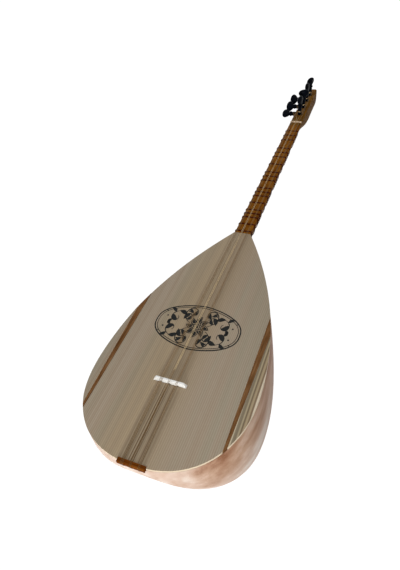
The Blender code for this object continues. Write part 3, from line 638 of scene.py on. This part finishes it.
# The ornament on the face: sprays of leaves about a rosette inside a double border, burnt into the wood
# with a hot point before lacquering, so it lies in charcoal lines on the surface.
INK_HEIGHT, INK_DEPTH = 0.00006, 0.00005
ORNAMENT_MIDDLE = 0.205
ORNAMENT_STRETCH = (1.05, 1.16)
char_black, place = material("burnt_line")
scorch = place.scaled(900, 900, 900).noise(3, 0.6)
finish(char_black, {
    "Base Color": scorch.ramp((0.3, paint(8, 10, 10)), (0.7, paint(34, 36, 34))),
    "Roughness": 0.55,
    "Specular IOR Level": 0.12,
})


def arc(middle, radius, start, end, steps):
    """Points on a circle about a middle, from one angle to another in degrees."""
    angles = spread(math.radians(start), math.radians(end), steps)
    return [(middle[0] + radius * math.cos(a), middle[1] + radius * math.sin(a)) for a in angles]


def curl(root, heading, length, bend, steps=22):
    """A tendril that leaves its root at a heading and curls more and more tightly."""
    points, angle = [root], math.radians(heading)
    stride = length / steps
    for step in range(steps):
        angle += math.radians(bend) * (0.4 + 1.6 * step / steps) / steps
        x, y = points[-1]
        points.append((x + stride * math.cos(angle), y + stride * math.sin(angle)))
    return points


def leaf(root, heading, length, width, steps=12):
    """A pointed leaf: its outline, round from the root and back."""
    cosine, sine = math.cos(math.radians(heading)), math.sin(math.radians(heading))
    points = []
    for side in (1, -1):
        for step in range(steps + 1) if side > 0 else range(steps - 1, 0, -1):
            share = step / steps
            along = share * length
            lean = length * 0.12 * math.sin(math.pi * share)
            out = side * width / 2 * math.sin(math.pi * share**0.8) + lean
            points.append((root[0] + along * cosine - out * sine, root[1] + along * sine + out * cosine))
    return points


class Ornament:
    """Strokes and leaves gathered in one flat mesh."""

    def __init__(self):
        self.shape = bmesh.new()

    def spot(self, x, y):
        x, y = ORNAMENT_STRETCH[0] * x, ORNAMENT_STRETCH[1] * y + ORNAMENT_MIDDLE
        return self.shape.verts.new((x, y, face_height(x) + INK_HEIGHT))

    def fill(self, outline):
        hub = self.spot(*[sum(values) / len(outline) for values in zip(*outline)])
        rim = [self.spot(*point) for point in outline]
        for one, two in zip(rim, rim[1:] + rim[:1]):
            self.shape.faces.new((hub, one, two))

    def stroke(self, points, width, taper=0.0, closed=False):
        """A line of this width, drawn finer towards its ends by taper."""
        left, right = [], []
        count = len(points)
        for index, (x, y) in enumerate(points):
            before = points[index - 1] if index or closed else points[0]
            after = points[(index + 1) % count] if index < count - 1 or closed else points[-1]
            run = Vector((after[0] - before[0], after[1] - before[1])).normalized()
            half = width / 2 * (1 - taper * abs(2 * index / (count - 1) - 1) ** 2)
            left.append(self.spot(x - run.y * half, y + run.x * half))
            right.append(self.spot(x + run.y * half, y - run.x * half))
        pairs = list(zip(left, right))
        if closed:
            pairs.append(pairs[0])
        for (a, b), (c, d) in zip(pairs, pairs[1:]):
            self.shape.faces.new((a, b, d, c))

    def mirrored(self, draw):
        """Draws a quarter of the design in all four quarters."""
        for right in (1, -1):
            for up in (1, -1):
                draw(lambda points: [(right * x, up * y) for x, y in points])

    def finish(self):
        sheet = self.shape
        bmesh.ops.recalc_face_normals(sheet, faces=sheet.faces)
        grown = bmesh.ops.extrude_face_region(sheet, geom=list(sheet.faces), use_keep_orig=True)
        lower = [item for item in grown["geom"] if isinstance(item, bmesh.types.BMVert)]
        bmesh.ops.translate(sheet, vec=(0, 0, -INK_DEPTH), verts=lower)
        return fit(solid("burnt_ornament", sheet), char_black, [])


def quarter(turned):
    """One quarter of the sprays: three curling stems with leaves on them, and three dots."""
    for root, heading, length, bend in (
        ((0.013, 0.004), 24, 0.050, 250),
        ((0.011, 0.013), 62, 0.026, -240),
        ((0.034, 0.019), -18, 0.034, -260),
    ):
        stem = curl(root, heading, length, bend)
        art.stroke(turned(stem), 0.0015, 0.6)
        for at, lean, size in ((3, 70, 0.0100), (7, -64, 0.0122), (12, 74, 0.0092)):
            (x, y), (further_x, further_y) = stem[at], stem[at + 1]
            way = math.degrees(math.atan2(further_y - y, further_x - x))
            art.fill(turned(leaf((x, y), way + lean, size, size * 0.5)))
    dots = ((0.0205, 0.0215, 0.0011), (0.0475, 0.0085, 0.0012), (0.0510, 0.0160, 0.0009))
    for x, y, size in dots:
        art.fill(turned(arc((x, y), size, 0, 330, 11)))


art = Ornament()
for heading in range(0, 360, 45):
    turn = math.radians(heading)
    outer_root, inner_root = ((out * math.cos(turn), out * math.sin(turn)) for out in (0.0045, 0.0066))
    art.stroke(leaf(outer_root, heading - 6, 0.0118, 0.0062), 0.0011, closed=True)
    art.fill(leaf(inner_root, heading - 6, 0.0080, 0.0040))
art.stroke(arc((0, 0), 0.0034, 0, 345, 23), 0.0009, closed=True)
art.fill(arc((0, 0), 0.0017, 0, 340, 17))
art.mirrored(quarter)
for half_x, half_y, width in ((0.060, 0.0335, 0.0017), (0.0570, 0.0308, 0.0009)):
    border = []
    for step in range(96):
        across, up = math.cos(2 * math.pi * step / 96), math.sin(2 * math.pi * step / 96)
        x, y = math.copysign(abs(across) ** 1.25, across), math.copysign(abs(up) ** 0.8, up)
        border.append((x * half_x, y * half_y))
    art.stroke(border, width, closed=True)
art.finish()

# The neck: one length of golden-brown hardwood, D-shaped, glued into the heel of the bowl. Its face is
# planed flat in line with the soundboard, and its upper edges are eased.
NUT_Y = 0.811
HEAD_JOINT = 0.799
NUT_HALF, NUT_DEPTH = 0.0125, 0.020
EDGE_RADIUS = 0.0015
TENON_LENGTH, TONGUE_LENGTH = 0.030, 0.020
NECK_STEPS = 28


def neck_share(y):
    """0 at the bowl and 1 at the nut."""
    return (y - BOWL_LENGTH) / (NUT_Y - BOWL_LENGTH)


def d_ring(half, top, bottom, power, radius=EDGE_RADIUS):
    """A closed D: rounded upper edges, then a superellipse underneath."""
    corner = [math.radians(angle) for angle in (90, 68, 45, 22)]
    right = [(half - radius + radius * math.cos(a), top - radius + radius * math.sin(a)) for a in corner]
    under = half_section(half, top - radius, bottom, power, 0, NECK_STEPS)
    left = [(-x, z) for x, z in reversed(right)]
    return right + under + left


def neck_ring(y, grow=0.0):
    half = mix(HEEL_HALF, NUT_HALF, neck_share(y)) + grow
    depth = mix(HEEL_DEPTH, NUT_DEPTH, neck_share(y)) + grow
    return [(x, y, z) for x, z in d_ring(half, grow, -depth, NECK_POWER, EDGE_RADIUS + grow)]


def inner_ring(y, half, top, bottom):
    """The outline of a tenon or of its hole."""
    return [(x, y, z) for x, z in d_ring(half, top, bottom, NECK_POWER)]


neck_start = BOWL_LENGTH + GAP
tenon_top, tenon_bottom = -BOARD_THICKNESS - BOARD_CROWN - GAP, 2 * BOWL_WALL - HEEL_DEPTH
tenon = (HEEL_HALF - 1.5 * BOWL_WALL, tenon_top, tenon_bottom)
TONGUE_TOP = -0.005
tongue = (NUT_HALF / 2, TONGUE_TOP, -0.8 * NUT_DEPTH)
mortise = (tongue[0] + GAP, tongue[1] + GAP, tongue[2] - GAP)
neck_rows = [inner_ring(neck_start - TENON_LENGTH, *tenon), inner_ring(neck_start, *tenon)]
neck_rows += [neck_ring(y) for y in spread(neck_start, HEAD_JOINT, 12)]
neck_rows += [inner_ring(HEAD_JOINT, *tongue), inner_ring(HEAD_JOINT + TONGUE_LENGTH, *tongue)]
neck_wood = wood("neck_wood", ((88, 46, 6), (128, 78, 20), (160, 108, 38)), 0.0008, 0.006)
fit(solid("turned_neck", skin(neck_rows)), neck_wood, ["neck"])

# The head: a block that deepens from the nut, bored with a tapered hole for each peg, its tip rounded.
HEAD_LENGTH, NOSE, NOSE_LEVEL = 0.206, 0.0295, 0.15
TIP_HALF, HEAD_DEPTH, FACE_DROP = 0.0105, 0.043, 0.010
TAPER_START, TAPER_SPAN = 0.15, 0.6
PEG_RADIUS, PEG_TAPER = 0.0044, 0.05
FIRST_PEG_FROM_NUT, PEG_SPACING, SIDE_PEG_AFTER = 0.040, 0.037, 0.022
SIDE_PEG_DROP = 0.010


def head_share(y):
    return (y - NUT_Y) / HEAD_LENGTH


def head_half(y):
    return mix(NUT_HALF, TIP_HALF, ease((head_share(y) - TAPER_START) / TAPER_SPAN))


def head_face(y):
    return -FACE_DROP * max(0.0, head_share(y)) ** 2.2


def head_back(y):
    swell = ease((y - HEAD_JOINT) / (0.55 * HEAD_LENGTH))
    return -mix(NUT_DEPTH, HEAD_DEPTH, swell)


def head_ring(y, shrink=1.0):
    half = head_half(y) * shrink
    middle = mix(head_face(y), head_back(y), NOSE_LEVEL)
    top = middle + (head_face(y) - middle) * shrink
    bottom = middle + (head_back(y) - middle) * shrink
    power = mix(NECK_POWER, 5.0, ease((y - HEAD_JOINT) / (0.3 * HEAD_LENGTH)))
    return [(x, y, z) for x, z in d_ring(half, top, bottom, power)]


def front_peg_y(index):
    return NUT_Y + FIRST_PEG_FROM_NUT + index * PEG_SPACING


def side_peg_y(index):
    return front_peg_y(index) + SIDE_PEG_AFTER


def peg_radius(height):
    return PEG_RADIUS + min(height, 0.0) * PEG_TAPER / 2


tip = NUT_Y + HEAD_LENGTH - 0.0006
head_rows = [head_ring(y) for y in spread(HEAD_JOINT + GAP, tip - NOSE, 30)]
for step in range(1, 11):
    angle = math.pi / 2 * step / 10.5
    head_rows.append(head_ring(tip - NOSE + NOSE * math.sin(angle), math.cos(angle)))
carved_head = solid("carved_head", skin(head_rows))
NUT_THICKNESS, NUT_SEAT, NUT_RISE = 0.004, 0.0025, 0.0022
seat_low, seat_high = (-0.03, NUT_Y - GAP, -NUT_SEAT - GAP), (0.03, NUT_Y + NUT_THICKNESS + GAP, 0.02)
head_cutters = [
    solid("seat_cutter", block(seat_low, seat_high)),
    solid("tongue_cutter", skin([
        inner_ring(HEAD_JOINT - 0.01, *mortise), inner_ring(HEAD_JOINT + TONGUE_LENGTH + GAP, *mortise),
    ])),
]


def peg_cutter(seat, inwards, deep):
    """A tapered cutter that goes through the head along a peg, and sticks out at both ends."""
    seat, inwards = Vector(seat), Vector(inwards)
    mouth, end = PEG_RADIUS + GAP + deep * PEG_TAPER / 2, peg_radius(-2 * deep) + GAP
    return solid("peg_cutter", rod(seat - inwards * deep, seat + inwards * 2 * deep, mouth, end))


front_reach, side_reach = [], []
for y in map(front_peg_y, range(4)):
    front_reach.append(head_face(y) - head_back(y) - 4 * GAP)
    head_cutters.append(peg_cutter((0, y, head_face(y)), (0, 0, -1), front_reach[-1]))
for y in map(side_peg_y, range(3)):
    side_reach.append(2 * head_half(y) - 4 * GAP)
    head_cutters.append(peg_cutter((-head_half(y), y, -SIDE_PEG_DROP), (1, 0, 0), side_reach[-1]))
carve(carved_head, head_cutters)
head_wood = wood("head_wood", ((78, 46, 8), (110, 74, 24), (144, 104, 48)), 0.0008, 0.006)
fit(carved_head, head_wood, ["head"])


# The nut: a tan strip of bone let in across the head, with a notch filed for each string. The bridge is
# made in the same way, as a white wedge on four feet that only the strings hold down.
COURSES = ((-1, 3), (0, 2), (1, 2))
BRIDGE_Y = 0.111
COURSE_AT_BRIDGE, COURSE_AT_NUT, STRING_SPACING = 0.011, 0.0078, 0.0016
FILED_EDGE = 0.0003
STRING_RADIUS = 0.000225
NOTCH_DEPTH, NOTCH_HALF, SLIDE_ROOM = 0.0003, 0.00028125, 0.0002


def string_places():
    """Each string's place at its pin, the bridge and the nut, from left to right."""
    found = []
    for course, count in COURSES:
        for index in range(count):
            offset = (index - (count - 1) / 2) * STRING_SPACING
            middle = course * COURSE_AT_BRIDGE
            found.append((middle, middle + offset, course * COURSE_AT_NUT + offset))
    return found


def notched(left, right, top, places, depth):
    """Points (x, z) along an upper edge from right to left, with a round notch at each place."""
    points = [(right, top)]
    for x in sorted(places, reverse=True):
        for turn in spread(0, math.pi, 4):
            points.append((x + NOTCH_HALF * math.cos(turn), top - depth * math.sin(turn)))
    return points + [(left, top)]


def slab(outline, half_at):
    """A plate with this outline in x and z, whose half thickness depends on the height."""
    return skin([[(x, side * half_at(z), z) for x, z in outline] for side in (1, -1)])


places = string_places()
nut_half = NUT_HALF - GAP
nut_outline = [(-nut_half, -NUT_SEAT), (nut_half, -NUT_SEAT)]
on_nut = [at_nut for _, _, at_nut in places]
nut_outline += notched(-nut_half, nut_half, NUT_RISE, on_nut, NOTCH_DEPTH)
nut_place = Matrix.Translation((0, NUT_Y + NUT_THICKNESS / 2, 0))
nut = solid("bone_nut", slab(nut_outline, lambda z: NUT_THICKNESS / 2), nut_place)
soften(nut, FILED_EDGE, angle=60)
nut_bone, place = material("nut_bone")
pores = place.scaled(1400, 900, 1400).noise(3, 0.6)
finish(nut_bone, {
    "Base Color": pores.ramp((0.3, paint(176, 148, 116)), (0.7, paint(205, 180, 148))),
    "Roughness": 0.35 + pores * 0.2,
    "Normal": pores.bump(0.00005, 0.4),
})
fit(nut, nut_bone, ["nut"])

BRIDGE_HEIGHT = 0.0062
BRIDGE_BASE, BRIDGE_TOP = 0.02325, 0.0195
BRIDGE_FOOT, BRIDGE_EDGE = 0.0024, 0.0012
ARCH_RADIUS = 0.0015
bridge_outline = [(-BRIDGE_BASE, GAP)]
for middle in (-BRIDGE_BASE / 2, 0.0, BRIDGE_BASE / 2):
    for angle in spread(math.pi, 0, 14):
        x, z = ARCH_RADIUS * math.cos(angle), ARCH_RADIUS * math.sin(angle)
        bridge_outline.append((middle + x, max(GAP, z)))
bridge_outline.append((BRIDGE_BASE, GAP))
on_bridge = [at_bridge for _, at_bridge, _ in places]
bridge_outline += notched(-BRIDGE_TOP, BRIDGE_TOP, BRIDGE_HEIGHT, on_bridge, NOTCH_DEPTH + SLIDE_ROOM)


def bridge_half(z):
    return mix(BRIDGE_FOOT, BRIDGE_EDGE, (z - GAP) / (BRIDGE_HEIGHT - GAP))


bridge = solid("notched_bridge", slab(bridge_outline, bridge_half), Matrix.Translation((0, BRIDGE_Y, 0)))
soften(bridge, FILED_EDGE, angle=60)
bridge_white, place = material("bridge_white")
flecks = place.scaled(500, 1600, 1600).noise(3, 0.6)
finish(bridge_white, {
    "Base Color": flecks.ramp((0.3, paint(244, 243, 238)), (0.7, paint(254, 254, 251))),
    "Roughness": 0.4 + flecks * 0.15,
    "Normal": flecks.bump(0.00005, 0.4),
})
fit(bridge, bridge_white, ["bridge"], "bridge")

# The tail block: a dark rounded bar let into the end of the face, over which the strings turn down to
# three round-headed steel pins in the bowl. The middle course is painted brighter past the bridge, a painted
# glint.
tail_tones = ((86, 38, 6), (118, 63, 17), (146, 87, 31))
tail_wood = wood("tail_block_wood", tail_tones, 0.0007, 0.004, grain="X")
tail_low = (-BLOCK_HALF, -BLOCK_OVERHANG, -BLOCK_DEPTH)
tail_block = soften(solid("tail_bar", block(tail_low, (BLOCK_HALF, BLOCK_INLET, BLOCK_RISE))), 0.0009, 4)
fit(tail_block, tail_wood, ["tail_block"])

PIN_STAND, PIN_HEAD_RADIUS = 0.0012, 0.0015
steel, place = material("string_steel")
scuff = place.scaled(2500, 2500, 2500).noise(2, 0.5)
wound = scuff.ramp((0.35, paint(102, 78, 46)), (0.65, paint(130, 104, 68)))
# A painted glint: the middle course's wires are painted brighter along the neck, past the bridge.
painted_glint_middle = (1 - place.axis("X").size().rise(0.002, 0.003)) * place.axis("Y").rise(0.125, 0.13)
finish(steel, {
    "Base Color": painted_glint_middle.between(wound, scuff.ramp((0.35, paint(184, 160, 118)), (0.65, paint(208, 186, 146)))),
    "Metallic": 1.0,
    "Roughness": 0.3 + scuff * 0.12,
})
pin_profile = [
    (PIN_RADIUS, PIN_RADIUS, -PIN_SEAT), (PIN_RADIUS, PIN_RADIUS, PIN_STAND),
    (PIN_HEAD_RADIUS * 0.96, PIN_HEAD_RADIUS * 0.96, PIN_STAND),
]
for angle in spread(0, math.pi / 2, 6)[:-1]:
    radius = PIN_HEAD_RADIUS * math.cos(angle)
    pin_profile.append((radius, radius, PIN_STAND + 0.0002 + 0.0005 * math.sin(angle)))


def turned(profile, sides):
    """A round or oval solid about z, from rows of half width, half thickness and height."""
    angles = [2 * math.pi * step / sides for step in range(sides)]
    return skin([
        [(wide * math.cos(a), thick * math.sin(a), height) for a in angles]
        for wide, thick, height in profile
    ])


for number, x in enumerate(PIN_PLACES, 1):
    upright = Matrix.Translation((x, 0, -PIN_DROP)) @ Matrix.Rotation(math.pi / 2, 4, "X")
    pin = solid("steel_pin_%d" % number, turned(pin_profile, 28), upright)
    fit(pin, steel, ["hitch_pin_%d" % number])

# The pegs: turned from blackened hardwood, polished. Each has a tapered shaft, a double collar and a flat
# rounded handle, and stands in its own tapered hole, four in the face and three in the left side.
HANDLE_HALF, HANDLE_HEIGHT, HANDLE_THICK = 0.0115, 0.018, 0.0048
FRONT_PEG_RISE, SIDE_PEG_RISE = 0.024, 0.0155
FRONT_TURNS = (80, 20, 92, 62)
SIDE_TURNS = (-20, -48, -58)
peg_black, place = material("peg_black")
sheen = place.scaled(70, 70, 70).noise(2, 0.5)
grit = place.scaled(1800, 1800, 1800).noise(2, 0.5)
finish(peg_black, {
    "Base Color": sheen.ramp((0.35, paint(2, 2, 3)), (0.65, paint(8, 11, 20))),
    "IOR": 1.25,
    "Specular IOR Level": 0.06,
    "Roughness": 0.26 + grit * 0.12,
    "Normal": grit.bump(0.00004, 0.3),
})


def smooth_through(points, per_span):
    """A smooth curve through rows of numbers."""
    found = []
    padded = [points[0], *points, points[-1]]
    for span in zip(padded, padded[1:], padded[2:], padded[3:]):
        for step in range(per_span):
            t = step / per_span
            found.append(tuple(
                b + 0.5 * t * (c - a + t * (2 * a - 5 * b + 4 * c - d + t * (3 * (b - c) + d - a)))
                for a, b, c, d in zip(*span)
            ))
    return found + [points[-1]]


def peg_rows(rise, reach):
    """Rows of half width, half thickness and height, from the shaft's end to the top of the handle."""
    shaft = [(0.9 * peg_radius(-reach), -reach)]
    shaft += [(peg_radius(height), height) for height in spread(0.0004 - reach, 0.0, 4)]
    collar = (
        (-0.0052, 1.0), (-0.0040, 1.0), (-0.0037, 1.12), (-0.0030, 1.30), (-0.0023, 1.30),
        (-0.0019, 1.12), (-0.0016, 1.12), (-0.0012, 1.26), (-0.0007, 1.26), (-0.0003, 1.05),
        (0.0002, 0.92),
    )
    shaft += [(scale * PEG_RADIUS, rise + height) for height, scale in collar]
    wide, thick = HANDLE_HALF, HANDLE_THICK
    handle = (
        (0.92 * PEG_RADIUS, 0.90 * PEG_RADIUS, 0.02), (1.30 * PEG_RADIUS, 0.85 * thick, 0.10),
        (0.78 * wide, 0.92 * thick, 0.26), (0.97 * wide, thick, 0.46), (wide, 0.97 * thick, 0.66),
        (0.82 * wide, 0.80 * thick, 0.84), (0.50 * wide, 0.55 * thick, 0.95),
        (0.12 * wide, 0.16 * thick, 1.0),
    )
    handle = [(across, through, rise + share * HANDLE_HEIGHT) for across, through, share in handle]
    return [(radius, radius, height) for radius, height in shaft] + smooth_through(handle, 4)


def make_peg(node, seat, outwards, turn, rise, reach):
    aim = Vector(outwards).to_track_quat("Z", "Y") @ Euler((0, 0, math.radians(turn))).to_quaternion()
    place = Matrix.Translation(seat) @ aim.to_matrix().to_4x4()
    peg = solid("black_" + node, turned(peg_rows(rise, reach), 32), place)
    fit(peg, peg_black, [node], node, 50)


for index, (turn, reach) in enumerate(zip(FRONT_TURNS, front_reach)):
    y = front_peg_y(index)
    seat = (0, y, head_face(y))
    make_peg("peg_front_%d" % (index + 1), seat, (0, 0, 1), turn, FRONT_PEG_RISE, reach)
for index, (turn, reach) in enumerate(zip(SIDE_TURNS, side_reach)):
    y = side_peg_y(index)
    seat = (-head_half(y), y, -SIDE_PEG_DROP)
    make_peg("peg_side_%d" % (index + 1), seat, (-1, 0, 0), turn, SIDE_PEG_RISE, reach)


# The frets: brown nylon line, wound three times round the neck and knotted behind its left edge, so
# each can be slid along. They are spaced for the instrument's own scale, with its quarter tones.
FRET_RATIOS = (
    18 / 17, 12 / 11, 9 / 8, 81 / 68, 27 / 22, 81 / 64, 4 / 3, 24 / 17, 16 / 11, 3 / 2,
    27 / 17, 18 / 11, 27 / 16, 16 / 9, 32 / 17, 64 / 33, 2 / 1, 36 / 17, 9 / 4,
)
STRING_LENGTH = 0.700
CORD_RADIUS, CORD_PITCH, CORD_ROUNDS = 0.00043, 0.00087, 3
KNOT_HEIGHT, KNOT_HALF = 0.0007, 2.1 * CORD_PITCH
KNOT_STEPS_BACK = 15


def tube(points, radius):
    """A round cord along a line of points, with rounded ends."""
    points = [Vector(point) for point in points]
    angles = [math.pi / 4 * step for step in range(8)]
    side = (points[1] - points[0]).normalized().orthogonal()
    rows = []
    for before, point, after in zip(points[:1] + points, points, points[1:] + points[-1:]):
        run = (after - before).normalized()
        side = (side - run * side.dot(run)).normalized()
        other = run.cross(side)
        rim = [side * math.cos(a) + other * math.sin(a) for a in angles]
        rows.append([point + spoke * radius for spoke in rim])
        if len(rows) == 1:
            rows.insert(0, [point + (spoke - run) * radius / 2 for spoke in rim])
    rows.append([point + (spoke + run) * radius / 2 for spoke in rim])
    return skin(rows)


fret_nylon, place = material("fret_nylon")
worn = place.scaled(600, 600, 600).noise(2, 0.5)
finish(fret_nylon, {
    "Base Color": worn.ramp((0.3, paint(52, 8, 2)), (0.7, paint(80, 20, 6))),
    "IOR": 1.2,
    "Specular IOR Level": 0.15,
    "Roughness": 0.38,
})
for number, ratio in enumerate(FRET_RATIOS, 1):
    station = BRIDGE_Y + STRING_LENGTH / ratio
    ring = neck_ring(station, GAP + CORD_RADIUS)
    count = len(ring)
    knot = count - KNOT_STEPS_BACK
    points = []
    for step in range(CORD_ROUNDS * count + 1):
        x, _, z = ring[(knot + step) % count]
        points.append((x, station + (step / count - CORD_ROUNDS / 2) * CORD_PITCH, z))
    cord = tube(points, CORD_RADIUS)
    x, _, z = ring[knot]
    out = Vector((-1, 0, -0.2)).normalized() * KNOT_HEIGHT
    hump = [
        Vector((x, station - KNOT_HALF * math.cos(angle), z)) + out * math.sin(angle)
        for angle in spread(0, math.pi, 10)
    ]
    tie = tube(hump, CORD_RADIUS)
    tie_mesh = bpy.data.meshes.new("tie")
    tie.to_mesh(tie_mesh)
    tie.free()
    cord.from_mesh(tie_mesh)
    bpy.data.meshes.remove(tie_mesh)
    node = "fret_%02d" % number
    fit(solid("tied_" + node, cord), fret_nylon, [node], node, 60)

# The strings: seven wires in three courses, looped on the pins, over the tail block, the bridge and the
# nut, and wound three times round their pegs. The second middle one bends round the first front peg.
TURNS, TURN_PITCH, TURN_STEPS = 3, 0.001, 28
NOTCH_CLEAR, WINDING_CLEAR, HEAD_CLEAR = 0.00003, 0.00004, 0.00005
wound_radius = PEG_RADIUS + STRING_RADIUS + WINDING_CLEAR


def turn_places(start, way):
    """Along a winding: across the peg twice, in the two ways, and how far up the peg."""
    found = []
    for step in range(TURNS * TURN_STEPS + 1):
        angle = start + way * 2 * math.pi * step / TURN_STEPS
        rise = TURN_PITCH * step / TURN_STEPS
        found.append((wound_radius * math.cos(angle), wound_radius * math.sin(angle), rise))
    return found


def front_winding(index, side):
    y = front_peg_y(index)
    base = head_face(y) + PEG_RADIUS * 1.5
    start = 0.0 if side > 0 else math.pi
    return [(across, y + along, base + rise) for across, along, rise in turn_places(start, side)]


def side_winding(index):
    """A winding that starts on the head's side, after a point where the string goes over its edge."""
    y = side_peg_y(index)
    edge_y = mix(NUT_Y + NUT_THICKNESS, y, 0.6)
    over_edge = (-head_half(edge_y) - GAP / 2, edge_y, head_face(edge_y) + STRING_RADIUS + HEAD_CLEAR)
    base = -head_half(y) - PEG_RADIUS
    places = turn_places(math.pi / 2, -1)
    return [over_edge] + [(base - rise, y + along, up - SIDE_PEG_DROP) for along, up, rise in places]


routes = [("side", index) for index in range(3)] + [("front", index) for index in range(4)]
in_notch = STRING_RADIUS - NOTCH_DEPTH + NOTCH_CLEAR
behind, under = -BLOCK_OVERHANG - STRING_RADIUS, -BLOCK_DEPTH - 1.2 * STRING_RADIUS
loop = PIN_RADIUS + STRING_RADIUS
for number, ((at_pin, at_bridge, at_nut), (row, index)) in enumerate(zip(places, routes), 1):
    lift = 0.0003 + 0.00025 * (number % 3)
    points = [
        (at_pin + loop * math.sin(angle), -lift, -PIN_DROP - loop * math.cos(angle))
        for angle in spread(math.radians(-140), math.radians(150), 20)
    ]
    points += [
        (mix(at_pin, at_bridge, 0.5), -lift, under),
        (at_bridge, behind + 0.0003, under),
        (at_bridge, behind, -BLOCK_DEPTH + 0.0003),
        (at_bridge, behind, BLOCK_RISE - 0.0009),
        (at_bridge, behind + 0.0003, BLOCK_RISE - 0.00025),
        (at_bridge, 0.0007 - BLOCK_OVERHANG, BLOCK_RISE + STRING_RADIUS),
        (at_bridge, BRIDGE_Y - BRIDGE_EDGE, BRIDGE_HEIGHT + in_notch),
        (at_bridge, BRIDGE_Y + BRIDGE_EDGE, BRIDGE_HEIGHT + in_notch),
        (at_nut, NUT_Y, NUT_RISE + in_notch),
        (at_nut, NUT_Y + NUT_THICKNESS, NUT_RISE + in_notch),
    ]
    if (row, index) == ("front", 1):
        first = front_peg_y(0)
        points.append((PEG_RADIUS + STRING_RADIUS + HEAD_CLEAR, first, head_face(first) + PEG_RADIUS))
    if row == "side":
        points += side_winding(index)
    else:
        points += front_winding(index, 1 if index else -1)
    node = "string_%d" % number
    fit(solid("wire_" + node, tube(points, STRING_RADIUS)), steel, [node], sharp=60)
